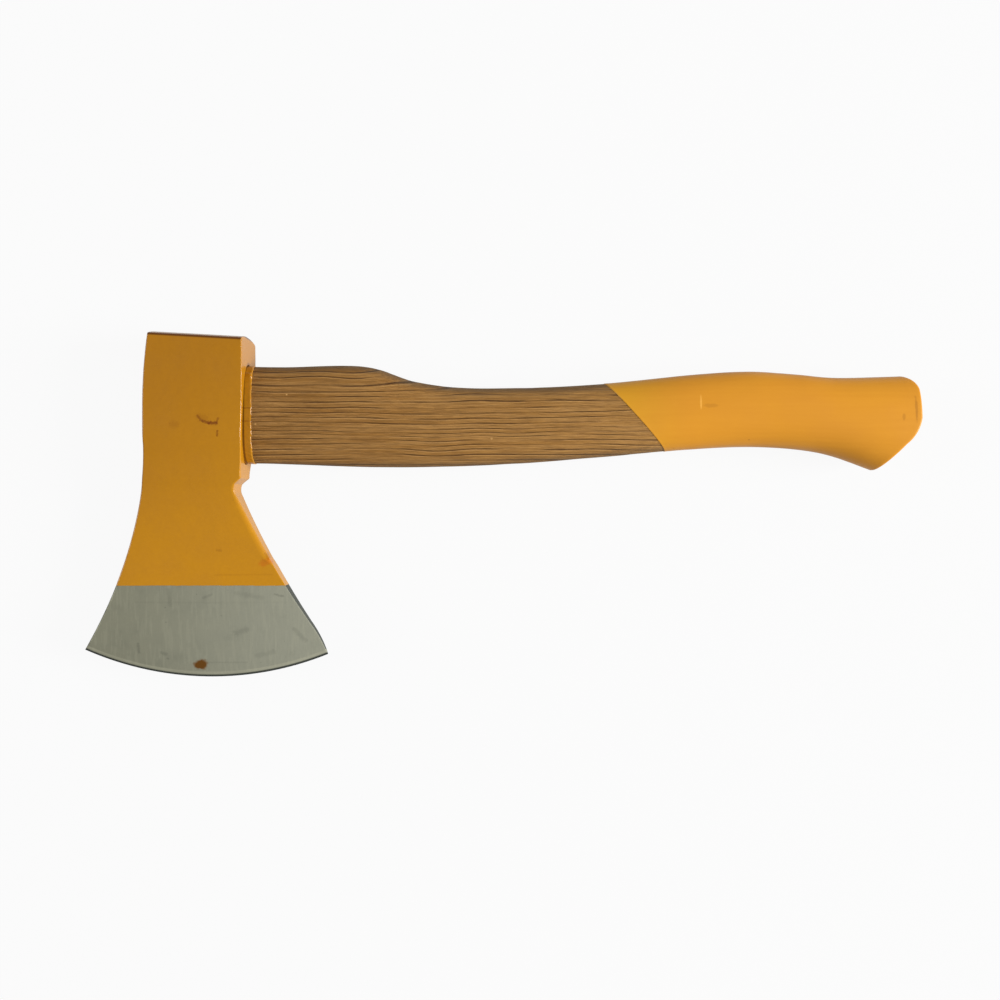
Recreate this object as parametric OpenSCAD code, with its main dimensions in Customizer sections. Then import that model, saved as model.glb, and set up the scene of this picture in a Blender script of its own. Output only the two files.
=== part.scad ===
// Hatchet: a one-piece forged steel head, wedged on a curved wooden handle, lying on its side.
// +X runs along the handle towards the butt, +Y towards the poll, and +Z up from the surface it lies on.
// The origin is on the lower cheek of the head, straight below the centre of the eye.
// Millimetres and degrees throughout.

/* [Head] */
// Thickness of the head across its two flat cheeks
head_t = 26; // [22:0.5:30]
// Width of the head along the handle, at the eye
head_w = 43.6; // [36:0.4:52]
// Height of the crest of the poll face above the centre of the eye, at mid width
poll_rise = 36.8; // [32:0.2:44]
// How far the poll face bulges from its edges to its crest
poll_crown = 2; // [0.4:0.1:3]
// Slope of the poll face, falling towards the handle
poll_slope = 3.1; // [0:0.1:6]
// How much narrower the head is at the poll than at the eye, on the crown side
poll_waist = 2.7; // [0:0.1:5]
// Radius of the corners of the poll, seen from the side
poll_corner_r = 1.4; // [0.5:0.1:3]
// Size of the chamfer where the poll face meets the cheeks
poll_chamfer = 0.8; // [0.4:0.1:2]
// How far the flat part of the cheeks reaches below the centre of the eye
cheek_drop = 5; // [0:0.5:9]

/* [Blade] */
// Depth of the cutting edge below the centre of the eye, at its lowest point
blade_drop = 118.6; // [96:0.2:142]
// Length of the cutting edge, straight from heel to toe
edge_len = 110.4; // [90:0.4:130]
// How far the middle of the cutting edge stands out past its two corners
edge_crown = 11.2; // [6:0.2:18]
// Shift of the middle of the cutting edge towards the handle
edge_shift = 3.2; // [-4:0.2:8]
// How much lower the toe, the corner on the handle side, is than the heel
toe_low = 2; // [0:0.2:6]
// Thickness left on the cutting edge itself
edge_t = 0.4; // [0.2:0.1:1]
// Width of the narrow sharpening bevel along the cutting edge
bevel_w = 1.2; // [0.6:0.1:3]
// Thickness of the blade just behind the sharpening bevel
bevel_t = 1.6; // [1.2:0.1:3]
// Thickness of the blade halfway between its cutting edge and the neck
blade_t = 8; // [6.6:0.2:10]
// Thickness of the neck, between the blade and the eye
neck_t = 12.4; // [10:0.2:15]
// Hollow of the crown side, from the eye to the heel
crown_hollow = 5.9; // [3:0.1:9]
// Hollow of the handle side, from the notch to the toe
toe_hollow = 1.3; // [0.4:0.1:4]

/* [Lug] */
// Height of the underside of the lug, below the eye on the handle side, under the centre of the eye
lug_drop = 28.9; // [25.5:0.1:31]
// How far the lug stands in from the widest part of the handle side
lug_set_in = 1.1; // [0:0.1:3]
// Thickness of the lug at its underside
lug_t = 16.6; // [14.6:0.2:19]
// Height of the deepest point of the notch under the lug, under the centre of the eye
notch_drop = 33.5; // [32.6:0.1:38]
// Depth of that notch behind the face of the lug
notch_depth = 3.5; // [2:0.1:5]

/* [Eye] */
// Height of the eye, measured from poll to bit
eye_h = 43.8; // [38:0.2:46]
// Width of the eye across the head
eye_t = 17.4; // [14:0.2:21]
// Roundness of the eye: 2 is an ellipse and higher is squarer
eye_round = 2.5; // [2:0.1:4]

/* [Handle] */
// Length of the handle, from the crown side of the head to the end of the butt
handle_len = 345.4; // [290:0.2:420]
// Height of the throat, the deep part next to the head
throat_h = 45.8; // [44.4:0.2:52]
// Height of the waist, behind the throat
waist_h = 34.4; // [28:0.2:41]
// Height of the grip
grip_h = 33.8; // [28:0.2:41]
// Height of the flared butt where its toe ends
butt_h = 42.7; // [37:0.1:51]
// Thickness of the handle at the throat
throat_t = 20; // [16:0.2:24]
// Thickness of the handle at the waist
waist_t = 20.5; // [17:0.2:26]
// Thickness of the handle at the grip
grip_t = 23.5; // [19:0.2:28]
// Thickness of the handle at its butt
butt_t = 25.8; // [21:0.2:31]
// How far the belly of the throat hangs below the centre of the eye
belly_drop = 23.7; // [21.9:0.1:27]
// How far the belly of the grip is below the centre of the eye
grip_drop = 14.2; // [8:0.2:19]
// Roundness of the handle's section: 2 is an ellipse and higher is squarer
handle_round = 2.3; // [2:0.1:3]

/* [Butt] */
// Height of the upper corner of the butt above the centre of the eye
butt_top = 17.4; // [12:0.2:24]
// Height of the straight part of the end face
butt_face_h = 10.4; // [5:0.2:15]
// Height of the rounding above the end face
butt_round_over = 8; // [5:0.2:12]
// Height of the rounding between the end face and the slanting cut
butt_round_under = 12.6; // [6:0.2:18]
// Angle of the slanting cut, from the handle's direction
butt_cut = 47; // [30:1:60]

/* [Wedges] */
// Wood left past each end of the wooden wedge, along the eye
wood_wedge_end = 1.6; // [1:0.1:4]
// Depth that the wooden wedge goes into the handle
wood_wedge_d = 30; // [24:1:33]
// Thickness of the wooden wedge at its outer end
wood_wedge_t = 4.6; // [3:0.1:6]
// Width of the saw cut that the wooden wedge is driven into
saw_cut = 1.2; // [0.8:0.1:2]
// Length of that saw cut past the tip of the wooden wedge
saw_cut_past = 4; // [1:1:10]
// Wood left on each side of a steel wedge, across the eye
steel_wedge_side = 2.4; // [2:0.1:4]
// Distance from each end of the eye to the middle of the steel wedge nearest to it
steel_wedge_in = 11.7; // [9:0.1:14]
// Depth that each steel wedge goes into the handle
steel_wedge_d = 21; // [14:1:23]
// Thickness of each steel wedge at its outer end
steel_wedge_t = 3.8; // [2.5:0.1:5]
// Thickness of each steel wedge at its tip
steel_tip_t = 0.6; // [0.4:0.1:1]
// Number of barbs on each side of a steel wedge
barbs = 4; // [2:1:6]
// Height of each barb
barb_h = 0.35; // [0.2:0.05:0.6]

/* [Fit] */
// Gap between pieces that are driven tight together
fit_gap = 0.04; // [0.02:0.01:0.1]

/* [Hidden] */

paint_yellow = [0.72, 0.49, 0.11];
bare_wood = [0.62, 0.44, 0.24];
wedge_wood = [0.72, 0.56, 0.36];
wedge_steel = [0.48, 0.48, 0.46];

arc_steps = 10;          // straight pieces along each arc of an outline
ring_sides = 28;         // sides of the handle's and the eye's section
ring_gap = 6.5;          // distance between the rings of the handle
beyond = 60;             // cutting shapes reach this far past what they cut

half_w = head_w / 2;
half_t = head_t / 2;
crown_x = -half_w;                       // the side of the head where the handle's end shows
butt_x = crown_x + handle_len;           // the end of the butt
tongue_end_x = crown_x + 0.1;            // the tongue is sawn flush with the crown
poll_left = [crown_x + poll_waist, poll_rise + (half_w - poll_waist) * tan(poll_slope)];
poll_right = [half_w, poll_rise - half_w * tan(poll_slope)];

corner_y = edge_crown - blade_drop;      // mean height of the two corners of the edge
heel = [edge_shift - edge_len / 2, corner_y + toe_low / 2];
toe = [edge_shift + edge_len / 2, corner_y - toe_low / 2];
edge_r = (edge_len * edge_len / 4 + edge_crown * edge_crown) / (2 * edge_crown);
edge_tilt = atan(toe_low / edge_len);
edge_centre = [edge_shift, corner_y] + (edge_r - edge_crown) * [sin(edge_tilt), cos(edge_tilt)];
lug_x = half_w - lug_set_in;             // the face of the lug
notch_x = lug_x - notch_depth;           // the deepest point of the notch

wood_wedge_l = eye_h - 2 * wood_wedge_end;
wood_tip_t = saw_cut - 2 * fit_gap;
steel_wedge_w = eye_t - 2 * steel_wedge_side;
steel_wedge_y = eye_h / 2 - steel_wedge_in;

// ---- curves ----

// Points of the arc from a towards b, without b. Its middle stands sag to the left of the straight line.
function arc(a, b, sag) =
    let (chord = b - a, len = norm(chord), along = chord / len, left = [-along.y, along.x])
    abs(sag) < 0.01 ? [a] :
    let (
        r = (len * len / 4 + sag * sag) / (2 * abs(sag)),
        side = sign(sag),
        centre = (a + b) / 2 + left * (sag - side * r),
        spread = asin(len / 2 / r)
    )
    [for (i = [0 : arc_steps - 1])
        let (turn = spread * (2 * i / arc_steps - 1))
        centre + left * side * r * cos(turn) + along * r * sin(turn)];

// Closed outline through corners [x, y, sag], where sag belongs to the arc to the next corner.
function outline(corners) =
    let (n = len(corners))
    [for (i = [0 : n - 1])
        let (a = corners[i], b = corners[(i + 1) % n])
        each arc([a.x, a.y], [b.x, b.y], a[2])];

// Slope of a smooth curve at its point i.
function slope_at(points, i) =
    let (before = points[max(i - 1, 0)], after = points[min(i + 1, len(points) - 1)])
    (after.y - before.y) / (after.x - before.x);

// Height at x of the smooth curve through points, whose x rises.
function curve(points, x) =
    let (
        i = max([for (k = [0 : len(points) - 2]) if (k == 0 || points[k].x <= x) k]),
        a = points[i], b = points[i + 1],
        w = b.x - a.x,
        t = min(max((x - a.x) / w, 0), 1)
    )
    (2 * t ^ 3 - 3 * t ^ 2 + 1) * a.y + (3 * t ^ 2 - 2 * t ^ 3) * b.y
    + w * ((t ^ 3 - 2 * t ^ 2 + t) * slope_at(points, i) + (t ^ 3 - t ^ 2) * slope_at(points, i + 1));

// Rounded oval of height h and thickness t.
function oval(h, t, roundness) =
    [for (i = [0 : ring_sides - 1])
        let (a = 360 * i / ring_sides, c = cos(a), s = sin(a))
        [sign(c) * abs(c) ^ (2 / roundness) * h / 2, sign(s) * abs(s) ^ (2 / roundness) * t / 2]];

// ---- head ----

// Side view of the head, anticlockwise from the poll, down the crown side, along the edge and back up.
head_outline = outline([
    [poll_left.x, poll_left.y - poll_corner_r, -0.75],
    [crown_x + 0.1, 1, 0],
    [crown_x, -14, crown_hollow],
    [heel.x, heel.y, -edge_crown],
    [toe.x, toe.y, -0.6],
    [toe.x - 7.8, toe.y + 14.6, toe_hollow],
    [notch_x + 1.1, -notch_drop - 3.3, 0.65],
    [notch_x + 0.4, -notch_drop + 2.2, 0],
    [lug_x - 0.7, -lug_drop - 0.3, -0.3],
    [lug_x, -lug_drop + 1.2, 0],
    [lug_x, -lug_drop + 3.2, -0.3],
    [half_w, -3, 0],
    [half_w, poll_right.y - poll_corner_r, -0.4],
    [poll_right.x - poll_corner_r, poll_right.y, 0],
    [poll_left.x + poll_corner_r, poll_left.y, -0.4],
]);

// Half thickness of the head by height above the centre of the eye, from the blade up to the flat cheeks.
cheek_section = [
    [-blade_drop - 3, blade_t * 0.32], [-blade_drop * 0.8, blade_t * 0.4],
    [-(blade_drop + notch_drop) / 2, blade_t / 2], [-notch_drop * 1.7, blade_t * 0.28 + neck_t * 0.22],
    [-notch_drop - 8, neck_t / 2 - 0.2], [-notch_drop, neck_t / 2 + 0.8], [-lug_drop, lug_t / 2],
    [-cheek_drop - 14.5, half_t * 0.42 + lug_t * 0.29], [-cheek_drop - 7.5, half_t - 0.8],
    [-cheek_drop - 3, half_t - 0.12], [-cheek_drop, half_t],
];

// The head's thickness, the same from its crown side to its handle side.
module cheeks() {
    steps = 26;
    low = cheek_section[0].x;
    flank = [for (i = [0 : steps])
        let (y = low + (-cheek_drop - low) * i / steps)
        [y, curve(cheek_section, y)]];
    lower = [for (i = [steps : -1 : 0]) [flank[i].x, -flank[i].y]];
    rotate([90, 0, 90])
        linear_extrude(2 * beyond + edge_len, center = true)
            polygon(concat([[beyond, -half_t]], lower, flank, [[beyond, half_t]]));
}

// Everything below the bulging poll face, with the chamfers along its two long edges.
module below_poll() {
    side = poll_crown + poll_chamfer;
    translate([0, poll_rise, 0])
        rotate([0, 0, -poll_slope])
            rotate([90, 0, 90])
                linear_extrude(2 * beyond + edge_len, center = true)
                    polygon(outline([
                        [-blade_drop * 2, -half_t - 1, 0], [-blade_drop * 2, half_t + 1, 0],
                        [-side - 1, half_t + 1, 0], [-poll_crown, half_t - poll_chamfer, poll_crown * 0.9],
                        [-poll_crown, poll_chamfer - half_t, 0], [-side - 1, -half_t - 1, 0],
                    ]));
}

// Half thickness of the blade by distance behind the cutting edge.
blade_section = [
    [bevel_w, bevel_t / 2], [blade_drop * 0.055, bevel_t / 2 + 0.75], [blade_drop * 0.13, blade_t * 0.3],
    [blade_drop * 0.26, blade_t * 0.44], [blade_drop * 0.38, blade_t * 0.63],
    [blade_drop * 0.5, blade_t * 0.9], [blade_drop * 0.68, head_t * 0.55],
];

// Round lens about the centre of the edge's own arc, so that the blade thins evenly to its whole edge.
module blade_lens() {
    steps = 18;
    first = blade_section[0].x;
    last = blade_section[len(blade_section) - 1].x;
    rim = [for (i = [0 : steps])
        let (d = first + (last - first) * i / steps)
        [edge_r - d, curve(blade_section, d)]];
    upper = concat([[edge_r, edge_t / 2]], rim, [[rim[steps].x, head_t], [0, head_t]]);
    lower = [for (i = [len(upper) - 1 : -1 : 0]) [upper[i].x, -upper[i].y]];
    translate(edge_centre)
        rotate_extrude($fn = 180)
            polygon(concat(upper, lower));
}

// The hole through the head, along the handle, larger than its size by grow on every side.
module eye(grow = 0) {
    rotate([90, 0, 90])
        linear_extrude(2 * beyond, center = true)
            polygon(oval(eye_h + 2 * grow, eye_t + 2 * grow, eye_round));
}

module head() {
    color(paint_yellow)
        lay_down()
            difference() {
                intersection() {
                    linear_extrude(head_t, center = true) polygon(head_outline);
                    cheeks();
                    below_poll();
                    blade_lens();
                }
                eye();
            }
}

// ---- handle ----

handle_run = butt_x - half_w;            // length of the handle outside the head
function station(share) = half_w + share * handle_run;

// Lower edge, on the bit side, by distance along the handle.
belly_line = [
    [crown_x, -eye_h / 2], [station(0), -eye_h / 2 + 0.1], [station(0.225), -belly_drop],
    [station(0.398), -belly_drop + 1.6], [station(0.54), -belly_drop + 4.9],
    [station(0.66), -grip_drop - 1.3], [station(0.752), -grip_drop], [station(0.823), -grip_drop - 1.1],
    [station(0.878), -grip_drop - 4], [station(0.945), butt_top - butt_h - 0.2],
    [station(1.05), butt_top - butt_h - 12],
];

// Height between the two edges.
height_line = [
    [crown_x, eye_h], [station(0), eye_h], [station(0.06), eye_h + 0.3], [station(0.15), throat_h],
    [station(0.195), throat_h - 1.2], [station(0.249), throat_h * 0.42 + waist_h * 0.58],
    [station(0.316), waist_h + 1.4], [station(0.398), waist_h], [station(0.54), (waist_h + grip_h) / 2 - 1],
    [station(0.752), grip_h], [station(0.823), grip_h - 0.2], [station(0.878), grip_h + 1.2],
    [station(0.945), butt_h - 0.1], [station(1.05), butt_h + 13],
];

// Thickness, and how square the section is.
thickness_line = [
    [crown_x, eye_t], [station(0), eye_t], [station(0.134), throat_t], [station(0.398), waist_t],
    [station(0.752), grip_t], [station(0.945), butt_t], [station(1.05), butt_t],
];
roundness_line = [
    [crown_x, eye_round], [station(0), eye_round],
    [station(0.134), handle_round], [station(1.05), handle_round],
];

// One ring of the handle's surface at x. Inside the head it keeps clear of the wall of the eye.
function handle_ring(x) =
    let (
        h = curve(height_line, x),
        middle = curve(belly_line, x) + h / 2,
        inside = x <= half_w ? 2 * fit_gap : 0
    )
    [for (p = oval(h - inside, curve(thickness_line, x) - inside, curve(roundness_line, x)))
        [x, p.x + (x <= half_w ? 0 : middle), p.y]];

module handle_blank() {
    outside = [for (x = [half_w + ring_gap / 2 : ring_gap : station(1.05)]) x];
    stations = concat([tongue_end_x, half_w], outside);
    rings = len(stations);
    points = [for (x = stations) each handle_ring(x)];
    walls = [for (r = [0 : rings - 2], i = [0 : ring_sides - 1])
        let (a = r * ring_sides + i, b = r * ring_sides + (i + 1) % ring_sides)
        each [[a, b, a + ring_sides], [b, b + ring_sides, a + ring_sides]]];
    near_end = [for (i = [ring_sides - 1 : -1 : 0]) i];
    far_end = [for (i = [0 : ring_sides - 1]) (rings - 1) * ring_sides + i];
    polyhedron(points, concat([near_end], walls, [far_end]));
}

// Side view of everything left of the end face and of the slanting cut below it.
module butt_outline() {
    face_high = [butt_x, butt_top - butt_round_over];
    face_low = [butt_x, face_high.y - butt_face_h];
    cut_high = face_low - butt_round_under * [0.62, 1];
    polygon(outline([
        [crown_x - beyond, beyond, 0],
        [crown_x - beyond, -beyond, 0],
        [cut_high.x - (cut_high.y + beyond) / tan(butt_cut), -beyond, 0],
        [cut_high.x, cut_high.y, -1.4],
        [face_low.x, face_low.y, -0.15],
        [face_high.x, face_high.y, -1.5],
        [butt_x - butt_round_over * 0.66, butt_top, 0],
        [butt_x - butt_round_over * 0.66 - 3, beyond, 0],
    ]));
}

// ---- wedges ----

// The wooden wedge, grown by grow on its two broad faces and spanning length along the eye.
module wooden_wedge_shape(length, grow = 0) {
    outer = wood_wedge_t / 2 + grow;
    tip = wood_tip_t / 2 + grow;
    rotate([90, 0, 0])
        linear_extrude(length, center = true)
            polygon([
                [tongue_end_x, -outer], [tongue_end_x + wood_wedge_d, -tip],
                [tongue_end_x + wood_wedge_d, tip], [tongue_end_x, outer],
            ]);
}

// Half thickness of a steel wedge's plain taper at a depth.
function steel_half_t(depth) =
    (steel_wedge_t + (steel_tip_t - steel_wedge_t) * depth / steel_wedge_d) / 2;

// A steel wedge with barbs that point back out of the wood, grown by grow all over.
module steel_wedge_shape(grow = 0) {
    pitch = steel_wedge_d / (barbs + 1);
    plain = pitch * 0.7;
    side = [for (i = [0 : barbs - 1]) each [
        [plain + i * pitch, steel_half_t(plain + i * pitch) - barb_h + grow],
        [plain + i * pitch + 0.3, steel_half_t(plain + i * pitch) + grow],
    ]];
    upper = concat(
        [[0, steel_wedge_t / 2 - barb_h / 2 + grow]], side, [[steel_wedge_d + grow, steel_tip_t / 2 + grow]]
    );
    lower = [for (i = [len(upper) - 1 : -1 : 0]) [upper[i].x, -upper[i].y]];
    translate([tongue_end_x, 0, 0])
        linear_extrude(steel_wedge_w + 2 * grow, center = true)
            polygon(concat(upper, lower));
}

module at_steel_wedges() {
    for (side = [-1, 1]) translate([0, side * steel_wedge_y, 0]) children();
}

module wooden_wedge() {
    color(wedge_wood)
        lay_down()
            difference() {
                wooden_wedge_shape(wood_wedge_l);
                at_steel_wedges() steel_wedge_shape(fit_gap);
            }
}

module steel_wedge(side) {
    color(wedge_steel)
        lay_down()
            translate([0, side * steel_wedge_y, 0]) steel_wedge_shape();
}

module handle() {
    color(bare_wood)
        lay_down()
            difference() {
                intersection() {
                    handle_blank();
                    linear_extrude(2 * beyond, center = true) butt_outline();
                }
                wooden_wedge_shape(2 * beyond, fit_gap);
                translate([tongue_end_x, -beyond, -saw_cut / 2])
                    cube([wood_wedge_d + saw_cut_past, 2 * beyond, saw_cut]);
                at_steel_wedges() steel_wedge_shape(fit_gap);
            }
}

// Everything is drawn about the middle plane, and then lies on the lower cheek.
module lay_down() {
    translate([0, 0, half_t]) children();
}

head();
handle();
wooden_wedge();
steel_wedge(1);  // steel_wedge_poll_side
steel_wedge(-1);  // steel_wedge_bit_side
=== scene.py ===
"""Hatchet: a painted forged head, wedged on a curved hardwood handle that is dipped in lacquer at its grip.

Sizes are in millimetres inside the classes and become metres when a mesh is made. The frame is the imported
model's.
"""
import itertools
import logging
import math
from dataclasses import dataclass
from enum import Enum

import bmesh
import bpy
import numpy as np
from bpy.types import Material, Node, NodeSocket, NodeTree, Object
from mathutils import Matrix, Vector


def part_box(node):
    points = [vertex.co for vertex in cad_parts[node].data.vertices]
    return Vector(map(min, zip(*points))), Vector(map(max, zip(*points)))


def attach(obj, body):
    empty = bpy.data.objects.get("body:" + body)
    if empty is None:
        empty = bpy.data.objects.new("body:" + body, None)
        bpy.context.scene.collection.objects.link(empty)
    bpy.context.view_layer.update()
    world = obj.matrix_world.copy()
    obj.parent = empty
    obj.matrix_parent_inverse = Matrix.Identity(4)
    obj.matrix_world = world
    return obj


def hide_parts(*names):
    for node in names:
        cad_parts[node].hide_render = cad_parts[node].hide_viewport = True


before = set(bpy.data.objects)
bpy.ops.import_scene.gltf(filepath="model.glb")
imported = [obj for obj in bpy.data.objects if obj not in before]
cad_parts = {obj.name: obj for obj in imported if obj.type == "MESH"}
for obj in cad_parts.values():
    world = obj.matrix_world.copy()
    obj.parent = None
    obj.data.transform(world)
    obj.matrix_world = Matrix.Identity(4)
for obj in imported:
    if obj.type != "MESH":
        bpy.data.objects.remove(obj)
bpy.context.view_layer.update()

log = logging.getLogger("hatchet")

MM = 0.001
VECTOR = "NodeSocketVector"
FLOAT = "NodeSocketFloat"
Colour = tuple[float, float, float]
Spot = tuple[float, float]
Points = list[Spot]
Faces = list[tuple[int, ...]]
Mark = tuple[Spot, Spot, float, float]
Row = tuple[float, float, float, float, float, float]


class Slot(Enum):
    """The record's material slots."""

    PAINT = "yellow_paint"
    WOOD = "handle_wood"
    WEDGE = "wedge_wood"
    STEEL = "bare_steel"


# ---- numbers and curves ----


def srgb(red: float, green: float, blue: float) -> Colour:
    """Turn a colour as it is seen on a display, from 0 to 255, into linear light."""
    shares = (red / 255, green / 255, blue / 255)
    return tuple(s / 12.92 if s <= 0.04045 else ((s + 0.055) / 1.055) ** 2.4 for s in shares)


def curve(points: Points, x: np.ndarray) -> np.ndarray:
    """Follow the smooth curve through points.

    Args:
        points: Points with rising x.
        x: Where to read the curve.

    Returns:
        The height of the curve at each x.
    """
    px, py = np.array(points, float).T
    last = len(px) - 1
    before = np.maximum(np.arange(last + 1) - 1, 0)
    after = np.minimum(np.arange(last + 1) + 1, last)
    slope = (py[after] - py[before]) / (px[after] - px[before])
    i = np.clip(np.searchsorted(px, x, side="right") - 1, 0, last - 1)
    width = px[i + 1] - px[i]
    t = np.clip((x - px[i]) / width, 0, 1)
    ends = (2 * t**3 - 3 * t**2 + 1) * py[i] + (3 * t**2 - 2 * t**3) * py[i + 1]
    slopes = (t**3 - 2 * t**2 + t) * slope[i] + (t**3 - t**2) * slope[i + 1]
    return ends + width * slopes


def arc_line(corners: list[tuple[float, float, float]], steps: int = 24) -> np.ndarray:
    """Join corners by straight lines and arcs.

    Args:
        corners: Corners as x, y and the sag of the arc to the next corner, positive to the left of travel.
        steps: Pieces along each arc.

    Returns:
        The points of the whole line.
    """
    line = []
    for (ax, ay, sag), (bx, by, _) in zip(corners, corners[1:]):
        start, end = np.array([ax, ay]), np.array([bx, by])
        length = np.linalg.norm(end - start)
        along = (end - start) / length
        left = np.array([-along[1], along[0]])
        t = np.linspace(0, 1, steps, endpoint=False)
        if abs(sag) < 0.01:
            line.append(start + np.outer(t, end - start))
            continue
        radius = (length**2 / 4 + sag**2) / (2 * abs(sag))
        side = math.copysign(1, sag)
        centre = (start + end) / 2 + left * (sag - side * radius)
        turn = math.asin(length / 2 / radius) * (2 * t - 1)
        across = np.outer(side * radius * np.cos(turn), left)
        line.append(centre + across + np.outer(radius * np.sin(turn), along))
    line.append(np.array([corners[-1][:2]]))
    return np.vstack(line)


def smooth_min(a: np.ndarray, b: np.ndarray, blend: float) -> np.ndarray:
    """The smaller of two values, rounded where they cross within blend."""
    h = np.clip(0.5 + 0.5 * (b - a) / blend, 0, 1)
    return b + (a - b) * h - blend * h * (1 - h)


def smooth_step(low: float, high: float, x: np.ndarray) -> np.ndarray:
    """Rise smoothly from 0 at low to 1 at high."""
    t = np.clip((x - low) / (high - low), 0, 1)
    return t * t * (3 - 2 * t)


def ripple(points: np.ndarray, seed: int) -> np.ndarray:
    """Smooth seeded noise over space, with features about one unit wide.

    Args:
        points: Places, one row of three numbers each.
        seed: Which noise to use.

    Returns:
        A value from -1 to 1 at each place.
    """
    cell = np.floor(points).astype(np.int64)
    part = points - cell
    part = part * part * (3 - 2 * part)
    total = np.zeros(len(points))
    for corner in itertools.product((0, 1), repeat=3):
        c = cell + np.array(corner)
        mixed = (c[:, 0] * 73856093) ^ (c[:, 1] * 19349663) ^ (c[:, 2] * 83492791) ^ (seed * 26544357)
        mixed = ((mixed ^ (mixed >> 13)) * 1274126177) & 0x7FFFFFFF
        value = ((mixed >> 7) % 65536) / 32768 - 1
        total += value * np.prod(np.where(np.array(corner) == 1, part, 1 - part), axis=1)
    return total


def ripple_along(steps: np.ndarray, seed: int) -> np.ndarray:
    """The same noise along one line."""
    return ripple(np.stack([steps, steps * 0, steps * 0], 1), seed)


def superellipse(height: object, thickness: object, roundness: object,
                 turn: np.ndarray) -> tuple[np.ndarray, np.ndarray]:
    """A rounded oval.

    Args:
        height: Its size in Y, one for all angles or one for each.
        thickness: Its size in Z, likewise.
        roundness: 2 for an ellipse, more for a squarer one, likewise.
        turn: Angles round it.

    Returns:
        Y and Z of its points.
    """
    c, s = np.cos(turn), np.sin(turn)
    y = np.sign(c) * np.abs(c) ** (2 / roundness) * height / 2
    z = np.sign(s) * np.abs(s) ** (2 / roundness) * thickness / 2
    return y, z


# ---- meshes ----


def make_piece(name: str, vertices: np.ndarray, faces: Faces, rides: bool = True) -> Object:
    """Make an object from points in millimetres, with its faces turned outwards.

    Args:
        name: Name of the piece.
        vertices: Its points.
        faces: Its faces, as indices into the points.
        rides: Whether it belongs to the object, and so rides on its one body.

    Returns:
        The new object.
    """
    mesh = bpy.data.meshes.new(name)
    mesh.from_pydata((np.asarray(vertices) * MM).tolist(), [], faces)
    work = bmesh.new()
    work.from_mesh(mesh)
    bmesh.ops.recalc_face_normals(work, faces=work.faces)
    work.to_mesh(mesh)
    work.free()
    piece = bpy.data.objects.new(name, mesh)
    bpy.context.scene.collection.objects.link(piece)
    if rides:
        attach(piece, "root")
    return piece


def loft_faces(rings: int, sides: int, capped: bool = True) -> Faces:
    """Faces between closed rings that follow each other.

    Args:
        rings: Number of rings.
        sides: Points of each ring.
        capped: Whether a face closes each end.

    Returns:
        The faces.
    """
    faces = [
        (r * sides + i, r * sides + (i + 1) % sides, (r + 1) * sides + (i + 1) % sides, (r + 1) * sides + i)
        for r in range(rings - 1)
        for i in range(sides)
    ]
    if capped:
        faces += [tuple(range(sides)), tuple((rings - 1) * sides + i for i in range(sides))]
    return faces


def cut_out(piece: Object, cutter: Object) -> None:
    """Cut one closed mesh out of another, and remove the cutter.

    Args:
        piece: What is cut.
        cutter: The shape that is taken away.
    """
    step = piece.modifiers.new("cut", "BOOLEAN")
    step.operation = "DIFFERENCE"
    step.solver = "EXACT"
    step.object = cutter
    bpy.context.view_layer.update()
    result = bpy.data.meshes.new_from_object(piece.evaluated_get(bpy.context.evaluated_depsgraph_get()))
    piece.modifiers.clear()
    piece.data = result
    bpy.data.objects.remove(cutter)


def face_centres(piece: Object) -> np.ndarray:
    """The middle of each face, in millimetres."""
    centres = np.zeros(len(piece.data.polygons) * 3)
    piece.data.polygons.foreach_get("center", centres)
    return centres.reshape(-1, 3) / MM


def complete(piece: Object, materials: list[Material], degrees: float, node: str = "",
             pick: np.ndarray | None = None) -> Object:
    """Give a piece its materials, its shading and its place in the model, and log it.

    Args:
        piece: The piece.
        materials: Its materials, in order.
        degrees: Edges sharper than this stay sharp.
        node: The CAD node that it replaces, if any.
        pick: Which material each face takes, or None where there is one.

    Returns:
        The piece.
    """
    mesh = piece.data
    mesh.materials.clear()
    for material in materials:
        mesh.materials.append(material)
    chosen = np.zeros(len(mesh.polygons), np.int32) if pick is None else pick.astype(np.int32)
    mesh.polygons.foreach_set("material_index", chosen)
    mesh.shade_smooth()
    mesh.set_sharp_from_angle(angle=math.radians(degrees))
    if node:
        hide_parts(node)
    log.info("%s: %d faces", piece.name, len(mesh.polygons))
    return piece


# ---- shader graphs ----


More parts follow.
